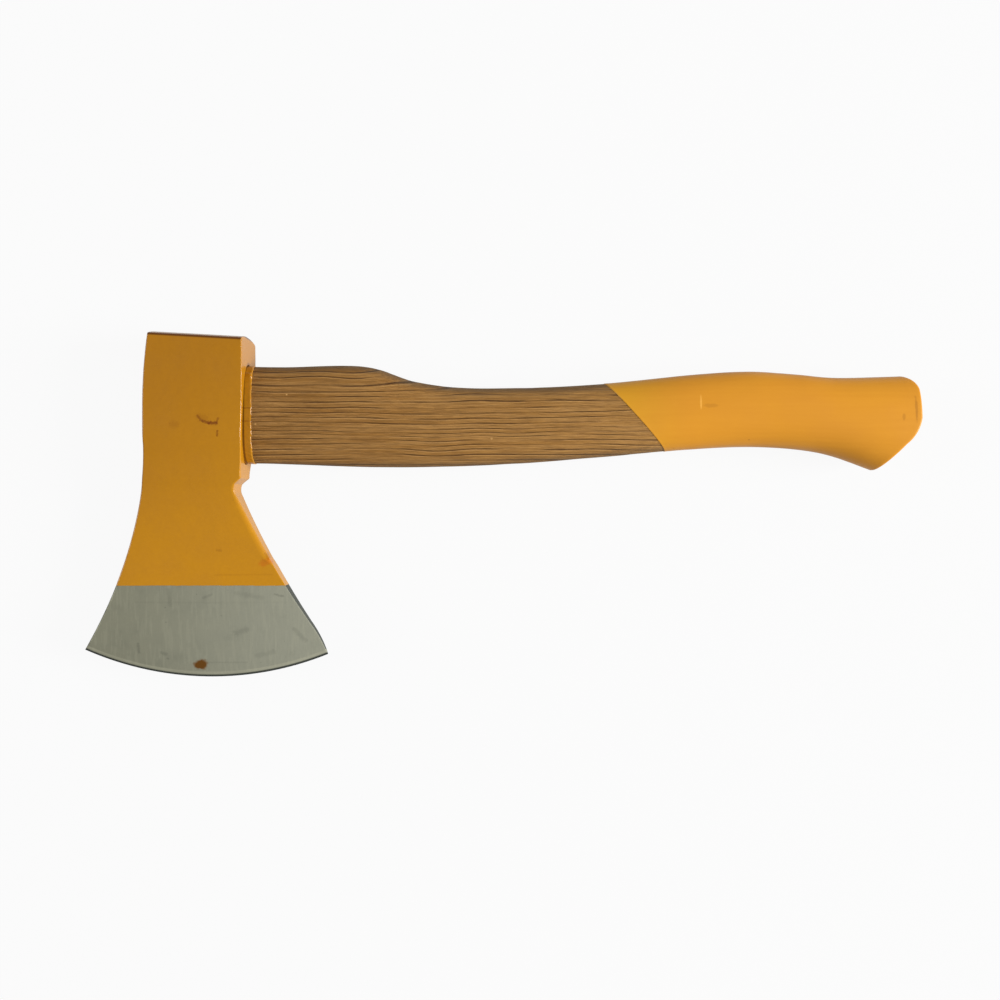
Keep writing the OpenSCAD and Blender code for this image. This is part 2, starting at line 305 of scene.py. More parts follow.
class Graph:
    """Builds the nodes of one material or node group."""

    def __init__(self, tree: NodeTree) -> None:
        """Work on tree."""
        self.tree = tree

    def node(self, kind: str, **settings: object) -> Node:
        """Add a node and set its properties."""
        made = self.tree.nodes.new(kind)
        for key, value in settings.items():
            setattr(made, key, value)
        return made

    def feed(self, socket: NodeSocket, value: object) -> None:
        """Link a socket, or set its value.

        Args:
            socket: The input to feed.
            value: Another node's output, a number, a vector or a colour of three.
        """
        if isinstance(value, NodeSocket):
            self.tree.links.new(value, socket)
        elif socket.type == "RGBA":
            socket.default_value = (*value, 1)
        else:
            socket.default_value = value

    def math(self, kind: str, a: object, b: object = 0.0, clamp: bool = False) -> NodeSocket:
        """One step of arithmetic on a and b, kept between 0 and 1 if clamp is set."""
        step = self.node("ShaderNodeMath", operation=kind, use_clamp=clamp)
        self.feed(step.inputs[0], a)
        self.feed(step.inputs[1], b)
        return step.outputs[0]

    def times(self, a: object, b: object) -> NodeSocket:
        """a multiplied by b."""
        return self.math("MULTIPLY", a, b)

    def plus(self, a: object, b: object, clamp: bool = False) -> NodeSocket:
        """a and b together."""
        return self.math("ADD", a, b, clamp)

    def minus(self, a: object, b: object, clamp: bool = False) -> NodeSocket:
        """a less b."""
        return self.math("SUBTRACT", a, b, clamp)

    def harden(self, value: object, hardness: object) -> NodeSocket:
        """A value between 0 and 1 with more contrast about its middle."""
        return self.plus(self.times(self.minus(value, 0.5), hardness), 0.5, clamp=True)

    def off_middle(self, value: object) -> NodeSocket:
        """How far a value's fraction is from a half."""
        return self.math("ABSOLUTE", self.minus(self.math("FRACT", value), 0.5))

    def vector(self, kind: str, a: object, b: object) -> NodeSocket:
        """One step of vector arithmetic on a and b."""
        step = self.node("ShaderNodeVectorMath", operation=kind)
        self.feed(step.inputs[0], a)
        self.feed(step.inputs[1], b)
        return step.outputs["Value" if kind in ("LENGTH", "DISTANCE", "DOT_PRODUCT") else "Vector"]

    def mix(self, share: object, a: object, b: object) -> NodeSocket:
        """A colour that goes from a to b as share goes from 0 to 1."""
        step = self.node("ShaderNodeMix", data_type="RGBA")
        self.feed(step.inputs["Factor"], share)
        self.feed(step.inputs[6], a)
        self.feed(step.inputs[7], b)
        return step.outputs[2]

    def tint(self, colour: object, mask: object, strength: float, tone: Colour) -> NodeSocket:
        """A colour drawn towards a tone where a mask is high."""
        return self.mix(self.times(mask, strength), colour, tone)

    def spread(self, value: object, low: object, high: object, to_low: float = 0.0,
               to_high: float = 1.0) -> NodeSocket:
        """Map a value smoothly from the range low to high to the range to_low to to_high."""
        step = self.node("ShaderNodeMapRange", interpolation_type="SMOOTHSTEP")
        for socket, given in zip(step.inputs, (value, low, high, to_low, to_high)):
            self.feed(socket, given)
        return step.outputs[0]

    def noise(self, where: object, scale: object, detail: float = 3.0) -> NodeSocket:
        """Soft noise, read at a place."""
        step = self.node("ShaderNodeTexNoise")
        self.feed(step.inputs["Vector"], where)
        self.feed(step.inputs["Scale"], scale)
        step.inputs["Detail"].default_value = detail
        return step.outputs[0]

    def place(self) -> NodeSocket:
        """The point on the piece, in millimetres."""
        return self.vector("MULTIPLY", self.node("ShaderNodeTexCoord").outputs["Object"], (1000, 1000, 1000))

    def parts(self, vector: object) -> tuple[NodeSocket, ...]:
        """The three numbers of a vector."""
        step = self.node("ShaderNodeSeparateXYZ")
        self.feed(step.inputs[0], vector)
        return tuple(step.outputs)

    def facing(self) -> tuple[NodeSocket, ...]:
        """The three numbers of the direction in which the surface faces."""
        return self.parts(self.node("ShaderNodeTexCoord").outputs["Normal"])

    def thrice(self, value: object) -> NodeSocket:
        """A vector with the same number three times."""
        step = self.node("ShaderNodeCombineXYZ")
        for socket in step.inputs:
            self.feed(socket, value)
        return step.outputs[0]

    def attribute(self, name: str) -> NodeSocket:
        """A value that the mesh carries."""
        return self.node("ShaderNodeAttribute", attribute_name=name).outputs["Fac"]

    def use(self, group: NodeTree, **values: object) -> NodeSocket:
        """Place a node group.

        Args:
            group: The group.
            **values: Its inputs by name.

        Returns:
            Its one output.
        """
        step = self.node("ShaderNodeGroup", node_tree=group)
        for key, value in values.items():
            self.feed(step.inputs[key], value)
        return step.outputs[0]


class Effects:
    """The node groups that several finishes share, each built once."""

    def __init__(self) -> None:
        """Build the groups."""
        self.mottle = self.build_mottle()
        self.streaks = self.build_streaks()
        self.spot = self.build_spot()
        self.specks = self.build_specks()
        self.stroke = self.build_stroke()

    @staticmethod
    def start(name: str, **inputs: str) -> tuple[Graph, dict[str, NodeSocket], NodeSocket]:
        """Begin a group with one output named Mask.

        Args:
            name: Name of the group.
            **inputs: Socket type of each input, by name.

        Returns:
            The group's graph, its inputs by name, and the socket that its mask goes to.
        """
        tree = bpy.data.node_groups.new(name, "ShaderNodeTree")
        for key, kind in inputs.items():
            tree.interface.new_socket(key, in_out="INPUT", socket_type=kind)
        tree.interface.new_socket("Mask", in_out="OUTPUT", socket_type=FLOAT)
        graph = Graph(tree)
        inside = graph.node("NodeGroupInput")
        return graph, {key: inside.outputs[key] for key in inputs}, graph.node("NodeGroupOutput").inputs[0]

    def build_mottle(self) -> NodeTree:
        """Cloudy patches with a chosen size and hardness."""
        graph, given, mask = self.start("mottle", Place=VECTOR, Size=FLOAT, Hardness=FLOAT)
        cloud = graph.noise(graph.vector("DIVIDE", given["Place"], graph.thrice(given["Size"])), 1.0, 5.0)
        graph.feed(mask, graph.harden(cloud, given["Hardness"]))
        return graph.tree

    def build_streaks(self) -> NodeTree:
        """Noise drawn out along a direction, as grain or grinding marks."""
        graph, given, mask = self.start("streaks", Place=VECTOR, Cell=VECTOR, Hardness=FLOAT)
        drawn = graph.noise(graph.vector("DIVIDE", given["Place"], given["Cell"]), 1.0, 4.0)
        graph.feed(mask, graph.harden(drawn, given["Hardness"]))
        return graph.tree

    def build_spot(self) -> NodeTree:
        """One ragged spot round a centre."""
        graph, given, mask = self.start("spot", Place=VECTOR, Centre=VECTOR, Size=VECTOR)
        away = graph.vector("SUBTRACT", given["Place"], given["Centre"])
        away = graph.vector("DIVIDE", away, given["Size"])
        ragged = graph.times(graph.minus(graph.noise(given["Place"], 0.5, 4.0), 0.5), 0.9)
        reach = graph.plus(graph.vector("LENGTH", away, (0, 0, 0)), ragged)
        graph.feed(mask, graph.spread(reach, 0.6, 1.1, 1.0, 0.0))
        return graph.tree

    def build_specks(self) -> NodeTree:
        """Scattered small specks of dust or dirt."""
        graph, given, mask = self.start("specks", Place=VECTOR, Spacing=FLOAT, Radius=FLOAT)
        cells = graph.node("ShaderNodeTexVoronoi")
        spaced = graph.vector("DIVIDE", given["Place"], graph.thrice(given["Spacing"]))
        graph.feed(cells.inputs["Vector"], spaced)
        cells.inputs["Scale"].default_value = 1.0
        radius = graph.times(given["Radius"], graph.spread(graph.parts(cells.outputs["Color"])[0], 0.6, 1.0))
        graph.feed(mask, graph.math("LESS_THAN", cells.outputs["Distance"], radius))
        return graph.tree

    def build_stroke(self) -> NodeTree:
        """A ragged scratch or run from one point to another, on the upper side only."""
        graph, given, mask = self.start("stroke", Place=VECTOR, From=VECTOR, To=VECTOR, Width=FLOAT,
                                        Middle=FLOAT)
        flat = graph.vector("MULTIPLY", given["Place"], (1, 1, 0))
        away = graph.vector("SUBTRACT", flat, given["From"])
        run = graph.vector("SUBTRACT", given["To"], given["From"])
        share = graph.math("DIVIDE", graph.vector("DOT_PRODUCT", away, run),
                           graph.vector("DOT_PRODUCT", run, run), clamp=True)
        nearest = graph.vector("SUBTRACT", away, graph.vector("MULTIPLY", run, graph.thrice(share)))
        ragged = graph.minus(graph.noise(flat, 1.2, 4.0), 0.5)
        reach = graph.math("DIVIDE", graph.vector("LENGTH", nearest, (0, 0, 0)), given["Width"])
        reach = graph.plus(reach, graph.times(ragged, 2.2))
        upper = graph.math("GREATER_THAN", graph.parts(given["Place"])[2], given["Middle"])
        graph.feed(mask, graph.times(graph.spread(reach, 0.3, 1.2, 1.0, 0.0), upper))
        return graph.tree


# ---- finishes ----


class Finish:
    """What every finish does: start a material, draw its marks, and end it in its own shader."""

    @staticmethod
    def start(name: str) -> tuple[Material, Graph, Node]:
        """Begin a material, and give it, its graph and its Principled shader."""
        material = bpy.data.materials.new(name)
        material.use_nodes = True
        return material, Graph(material.node_tree), material.node_tree.nodes["Principled BSDF"]

    @staticmethod
    def strokes(graph: Graph, effects: Effects, place: NodeSocket, colour: NodeSocket, tone: Colour,
                marks: tuple[Mark, ...], middle: float) -> NodeSocket:
        """Draw marks over a colour.

        Args:
            graph: The material's graph.
            effects: The shared effects.
            place: The point on the piece.
            colour: The colour under the marks.
            tone: The marks' own colour.
            marks: Start, end, width and strength of each.
            middle: Height above which the marks show.

        Returns:
            The colour with its marks.
        """
        for start, end, width, strength in marks:
            mark = graph.use(effects.stroke, Place=place, From=(*start, 0), To=(*end, 0), Width=width,
                             Middle=middle)
            colour = graph.tint(colour, mark, strength, tone)
        return colour

    @staticmethod
    def close(graph: Graph, shader: Node, colour: NodeSocket, roughness: NodeSocket, specular: float,
              height: NodeSocket, depth: float) -> None:
        """Feed the shader what every finish has.

        Args:
            graph: The material's graph.
            shader: Its shader.
            colour: Its colour.
            roughness: Its roughness.
            specular: Its specular level.
            height: Its relief, from 0 to 1.
            depth: What 1 stands for in the relief, in millimetres.
        """
        graph.feed(shader.inputs["Base Color"], colour)
        graph.feed(shader.inputs["Roughness"], roughness)
        shader.inputs["Specular IOR Level"].default_value = specular
        bump = graph.node("ShaderNodeBump")
        bump.inputs["Distance"].default_value = depth * MM
        graph.feed(bump.inputs["Height"], height)
        graph.feed(shader.inputs["Normal"], bump.outputs[0])


@dataclass(frozen=True)
class PaintFinish(Finish):
    """Ochre paint on the forging, rubbed and marked."""

    # poll and blade: the ends of the cheek's painted shading, darker towards the poll and lighter towards the
    # blade, as the light falls from the lower right.
    poll: Colour = srgb(165, 110, 14)
    blade: Colour = srgb(188, 129, 16)
    scuff: Colour = srgb(108, 52, 6)
    grime_and_shade: Colour = srgb(150, 95, 18)
    # The colour of the painted shade on the poll's rim and in the gap round the eye's mouth.
    painted_shade: Colour = srgb(84, 44, 8)
    pool: Colour = srgb(180, 84, 8)
    gloss: float = 0.22
    poll_slope: float = 0.0
    rim_y: float = 0.0
    mouth_h: float = 46.6
    mouth_t: float = 20.4
    face_x: float = 21.8
    mid_z: float = 0.0
    run: Mark = ((29.6, -67.0), (34.0, -65.4), 1.8, 0.45)
    marks: tuple[Mark, ...] = (
        ((3.0, -1.4), (4.8, -3.4), 0.7, 0.5), ((4.8, -3.4), (8.0, -4.4), 0.75, 0.65),
        ((8.0, -4.4), (11.2, -4.4), 0.9, 0.8), ((11.2, -4.4), (12.0, -2.4), 0.6, 0.5),
        ((3.4, -1.6), (6.6, -2.6), 1.9, 0.18), ((11.6, -8.0), (11.4, -9.8), 0.6, 0.6),
        ((-8.2, -4.9), (-6.4, -5.0), 1.8, 0.16), ((9.2, -61.0), (10.8, -61.2), 0.7, 0.25),
        ((8.0, -72.2), (34.0, -72.0), 0.5, 0.1), ((21.9, 2.6), (25.0, 2.6), 0.3, 0.6),
        ((22.0, -3.3), (25.5, -3.3), 0.3, 0.45), ((31.0, -62.6), (32.2, -64.6), 0.8, 0.3),
    )

    def rim(self, graph: Graph, x: NodeSocket, y: NodeSocket) -> NodeSocket:
        """Painted shade on the rounded rim of the poll and along its crest, where the surface turns away from
        the light.

        Args:
            graph: The material's graph.
            x: Place along the handle.
            y: Height.

        Returns:
            The mask of the painted shade.
        """
        # Painted shade on faces that turn up towards the poll's crest.
        _, rising, upward = graph.facing()
        turned = graph.times(graph.spread(rising, 0.15, 0.4), graph.spread(rising, 0.85, 0.97, 1.0, 0.0))
        turned = graph.times(turned, graph.spread(y, 28.0, 31.0, 0.0, 0.95))
        # Painted shade: a dark line along the poll's crest on the cheeks.
        crest = graph.plus(y, graph.times(x, self.poll_slope))
        line = graph.times(graph.spread(crest, self.rim_y - 0.7, self.rim_y, 0.0, 0.9),
                           graph.spread(graph.math("ABSOLUTE", upward), 0.8, 0.95))
        return graph.math("MAXIMUM", turned, line)

    def mouth(self, graph: Graph, x: NodeSocket, y: NodeSocket, z: NodeSocket) -> NodeSocket:
        """Painted shade: a dark line in the gap round the mouth of the eye.

        Args:
            graph: The material's graph.
            x: Place along the handle.
            y: Height.
            z: Place across the head.

        Returns:
            The mask of the painted shade.
        """
        oval = graph.node("ShaderNodeCombineXYZ")
        graph.feed(oval.inputs[1], graph.math("DIVIDE", y, self.mouth_h / 2))
        graph.feed(oval.inputs[2], graph.math("DIVIDE", graph.minus(z, self.mid_z), self.mouth_t / 2))
        ring = graph.spread(graph.vector("LENGTH", oval.outputs[0], (0, 0, 0)), 1.0, 1.05, 0.8, 0.0)
        ring = graph.times(ring, graph.spread(x, self.face_x - 0.6, self.face_x))
        return graph.times(ring, graph.spread(x, self.face_x + 0.3, self.face_x + 0.9, 1.0, 0.0))

    def build(self, effects: Effects) -> Material:
        """Build the material from the shared effects."""
        material, graph, shader = self.start("ochre_paint")
        place = graph.place()
        x, y, z = graph.parts(place)
        # Painted shading: darker towards the poll, lighter towards the blade.
        slanting = graph.minus(y, graph.times(x, 0.6))
        colour = graph.mix(graph.spread(slanting, 36.0, -80.0), self.poll, self.blade)
        cloud = graph.use(effects.mottle, Place=place, Size=16.0, Hardness=1.6)
        colour = graph.tint(colour, cloud, 0.22, self.grime_and_shade)
        fine = graph.use(effects.mottle, Place=place, Size=1.4, Hardness=2.0)
        colour = graph.tint(colour, fine, 0.08, self.scuff)
        colour = self.strokes(graph, effects, place, colour, self.scuff, self.marks, self.mid_z)
        colour = self.strokes(graph, effects, place, colour, self.pool, (self.run,), self.mid_z)
        dust = graph.use(effects.specks, Place=place, Spacing=9.0, Radius=0.05)
        colour = graph.tint(colour, dust, 0.35, self.scuff)
        # Painted shade on the poll's rim and in the gap round the eye's mouth.
        colour = graph.mix(self.rim(graph, x, y), colour, self.painted_shade)
        colour = graph.mix(self.mouth(graph, x, y, z), colour, self.painted_shade)
        roughness = graph.spread(cloud, 0.0, 1.0, self.gloss, self.gloss + 0.08)
        self.close(graph, shader, colour, roughness, 0.5, graph.plus(graph.times(fine, 0.25), cloud), 0.04)
        return material


@dataclass(frozen=True)
class SteelFinish(Finish):
    """Bare ground steel, dulled and slightly rusted."""

    # left and right: the ends of the steel's painted shading, darker on the crown side and lighter towards
    # the handle, as the light falls from the right.
    left: Colour = srgb(149, 148, 127)
    right: Colour = srgb(172, 172, 153)
    dark: Colour = srgb(84, 86, 78)
    # The colour of the painted shade on the narrow side faces and of the dark line at the cutting edge.
    scale: Colour = srgb(54, 58, 55)
    pale: Colour = srgb(184, 182, 158)
    rust: Colour = srgb(92, 56, 4)
    rust_centre: tuple[float, float, float] = (0.9, -113.0, 13)
    rust_size: tuple[float, float, float] = (3.6, 2.7, 30)
    metal: float = 0.45
    edge_centre: Spot = (0.0, 0.0)
    edge_radius: float = 0.0
    bevel: float = 0.0
    mid_z: float = 0.0
    smudges: tuple[Mark, ...] = (
        ((-27.3, -103.5), (-27.0, -107.5), 0.8, 0.3), ((-16.8, -107.6), (-14.6, -108.2), 0.9, 0.24),
        ((-14.2, -110.2), (-13.9, -110.4), 0.5, 0.3), ((17.0, -98.6), (22.0, -97.0), 1.6, 0.21),
        ((35.0, -81.0), (38.5, -81.8), 0.6, 0.3), ((-28.0, -84.6), (10.0, -84.8), 0.5, 0.09),
        ((10.0, -84.8), (40.0, -84.6), 0.5, 0.048), ((-12.6, -79.0), (-12.4, -86.0), 1.2, 0.18),
        ((2.6, -82.6), (6.5, -81.0), 0.7, 0.21), ((5.0, -112.0), (22.0, -112.0), 0.4, 0.15),
        ((43.5, -97.0), (48.5, -102.0), 1.2, 0.18), ((17.5, -80.5), (29.0, -82.5), 1.3, 0.132),
        ((26.5, -109.0), (34.0, -107.2), 1.4, 0.15),
    )

    def build(self, effects: Effects) -> Material:
        """Build the material from the shared effects."""
        material, graph, shader = self.start("satin_steel")
        place = graph.place()
        # Painted shading: darker on the crown side, lighter towards the handle.
        colour = graph.mix(graph.spread(graph.parts(place)[0], -45.0, 55.0), self.left, self.right)
        cloud = graph.use(effects.mottle, Place=place, Size=9.0, Hardness=2.2)
        ground = graph.use(effects.streaks, Place=place, Cell=(0.5, 9.0, 0.5), Hardness=2.4)
        colour = graph.tint(colour, cloud, 0.36, self.dark)
        colour = graph.tint(colour, ground, 0.07, self.dark)
        bright = graph.use(effects.streaks, Place=place, Cell=(1.6, 15.0, 1.6), Hardness=6.0)
        colour = graph.tint(colour, graph.minus(bright, 0.72, clamp=True), 0.4, self.pale)
        colour = self.strokes(graph, effects, place, colour, self.dark, self.smudges, self.mid_z)
        pits = graph.use(effects.specks, Place=place, Spacing=3.6, Radius=0.09)
        colour = graph.tint(colour, pits, 0.4, self.dark)
        # Painted shade on the narrow side faces, which face along X; the same mask also dulls their metal.
        flank = graph.spread(graph.math("ABSOLUTE", graph.facing()[0]), 0.3, 0.7, 0.0, 0.92)
        colour = graph.mix(flank, colour, self.scale)
        flat = graph.vector("MULTIPLY", place, (1, 1, 0))
        behind = graph.minus(self.edge_radius, graph.vector("DISTANCE", flat, (*self.edge_centre, 0)))
        band = graph.times(graph.spread(behind, 0.3, 0.8),
                           graph.spread(behind, self.bevel, self.bevel + 0.5, 1.0, 0.0))
        colour = graph.tint(colour, band, 0.38, self.pale)
        # A dark line along the last millimetre of the cutting edge.
        colour = graph.mix(graph.spread(behind, 0.65, 1.3, 0.95, 0.0), colour, self.scale)
        rust = graph.use(effects.spot, Place=place, Centre=self.rust_centre, Size=self.rust_size)
        colour = graph.mix(rust, colour, self.rust)
        dull = graph.math("MAXIMUM", rust, flank)
        graph.feed(shader.inputs["Metallic"], graph.spread(dull, 0.0, 1.0, self.metal, 0.0))
        roughness = graph.spread(graph.math("MAXIMUM", cloud, dull), 0.0, 1.0, 0.42, 0.7)
        self.close(graph, shader, colour, roughness, 0.2, graph.plus(ground, graph.times(cloud, 0.5)), 0.02)
        return material


@dataclass(frozen=True)
class WoodFinish(Finish):
    """Straight-grained hardwood with dark open lines between its growth rings."""

    name: str = "ash_wood"
    # shade and light: the ends of the handle's painted shading, darker near the head and lighter towards the
    # grip.
    shade: Colour = srgb(143, 98, 39)
    light: Colour = srgb(164, 117, 54)
    line: Colour = srgb(66, 38, 10)
    pale: Colour = srgb(198, 152, 90)
    # The colour of the painted shade on the handle's upper and lower rims.
    grime_and_shade: Colour = srgb(92, 76, 56)

    def build(self, effects: Effects) -> Material:
        """Build the material from the shared effects."""
        material, graph, shader = self.start(self.name)
        place = graph.place()
        x, _, z = graph.parts(place)
        rings = graph.attribute("ring")
        key = graph.node("ShaderNodeCombineXYZ")
        graph.feed(key.inputs[0], graph.math("DIVIDE", x, 36.0))
        graph.feed(key.inputs[1], graph.times(graph.math("FLOOR", rings), 7.31))
        graph.feed(key.inputs[2], graph.math("DIVIDE", z, 24.0))
        strength = graph.spread(graph.noise(key.outputs[0], 1.0, 2.0), 0.36, 0.56, 0.2, 1.0)
        ragged = graph.times(graph.use(effects.streaks, Place=place, Cell=(4.0, 0.5, 0.5), Hardness=1.0), 0.1)
        lines = graph.spread(graph.plus(graph.off_middle(rings), ragged), 0.06, 0.21, 1.0, 0.0)
        lines = graph.times(lines, strength)
        # A pale band on one side of each dark line: a painted highlight on the lit lip of the groove.
        lip_highlight = graph.plus(graph.off_middle(graph.plus(rings, 0.21)), ragged)
        lip_highlight = graph.times(graph.spread(lip_highlight, 0.03, 0.15, 1.0, 0.0), strength)
        broad = graph.use(effects.streaks, Place=place, Cell=(45.0, 1.8, 2.4), Hardness=3.2)
        dashes = graph.use(effects.streaks, Place=place, Cell=(14.0, 0.5, 0.7), Hardness=9.0)
        fine = graph.use(effects.streaks, Place=place, Cell=(7.0, 0.28, 0.28), Hardness=3.2)
        # Painted shading: darker near the head, lighter towards the grip, as the light falls from the right.
        colour = graph.mix(graph.spread(x, 20.0, 205.0), self.shade, self.light)
        colour = graph.tint(colour, broad, 0.35, self.pale)
        colour = graph.tint(colour, fine, 0.28, self.line)
        colour = graph.tint(colour, lip_highlight, 0.62, self.pale)
        colour = graph.tint(colour, graph.minus(dashes, 0.7, clamp=True), 0.8, self.line)
        colour = graph.tint(colour, lines, 0.92, self.line)
        # Painted shade on the handle's upper and lower rims, where the surface turns away from the light.
        turned = graph.facing()[1]
        rim_shade = graph.math("MAXIMUM", graph.spread(turned, 0.45, 0.85, 0.0, 0.55),
                             graph.spread(turned, -0.6, -0.95, 0.0, 0.35))
        colour = graph.mix(rim_shade, colour, self.grime_and_shade)
        dust = graph.use(effects.specks, Place=place, Spacing=7.0, Radius=0.08)
        colour = graph.tint(colour, dust, 0.7, self.pale)
        height = graph.minus(graph.times(fine, -0.5), graph.times(lines, 0.5))
        self.close(graph, shader, colour, graph.spread(fine, 0.0, 1.0, 0.55, 0.75), 0.25, height, 0.34)
        return material


@dataclass(frozen=True)
class LacquerFinish(Finish):
    """Thick ochre lacquer on the grip."""

    body: Colour = srgb(207, 141, 41)
    thin: Colour = srgb(203, 146, 38)
    deep: Colour = srgb(184, 114, 24)
    worn: Colour = srgb(136, 84, 26)
    chip: Colour = srgb(246, 186, 88)
    butt_x: float = 0.0

    def build(self, effects: Effects) -> Material:
        """Build the material from the shared effects."""
        material, graph, shader = self.start("grip_lacquer")
        place = graph.place()
        cloud = graph.use(effects.mottle, Place=place, Size=24.0, Hardness=2.4)
        base = graph.mix(graph.spread(graph.parts(place)[0], 190.0, 225.0), self.thin, self.body)
        colour = graph.tint(base, cloud, 0.2, self.deep)
        under = graph.use(effects.streaks, Place=place, Cell=(30.0, 1.6, 1.6), Hardness=2.0)
        colour = graph.tint(colour, under, 0.14, self.deep)
        rubs = [
            ((self.butt_x - 3.0, 1.5, 22), (0.8, 7.0, 9), 0.4, self.worn),
            ((self.butt_x - 8.7, -1.8, 24), (0.9, 2.0, 6), 0.3, self.worn),
            ((230.0, 3.4, 24), (4.0, 1.1, 6), 0.22, self.worn),
            ((225.6, 4.8, 24), (0.45, 3.6, 8), 0.45, self.chip),
        ]
        for centre, size, strength, tone in rubs:
            mark = graph.use(effects.spot, Place=place, Centre=centre, Size=size)
            colour = graph.tint(colour, mark, strength, tone)
        dust = graph.use(effects.specks, Place=place, Spacing=8.0, Radius=0.06)
        colour = graph.tint(colour, dust, 0.4, self.worn)
        height = graph.plus(cloud, graph.times(under, 0.3))
        self.close(graph, shader, colour, graph.spread(cloud, 0.0, 1.0, 0.34, 0.46), 0.2, height, 0.05)
        return material


# ---- head ----


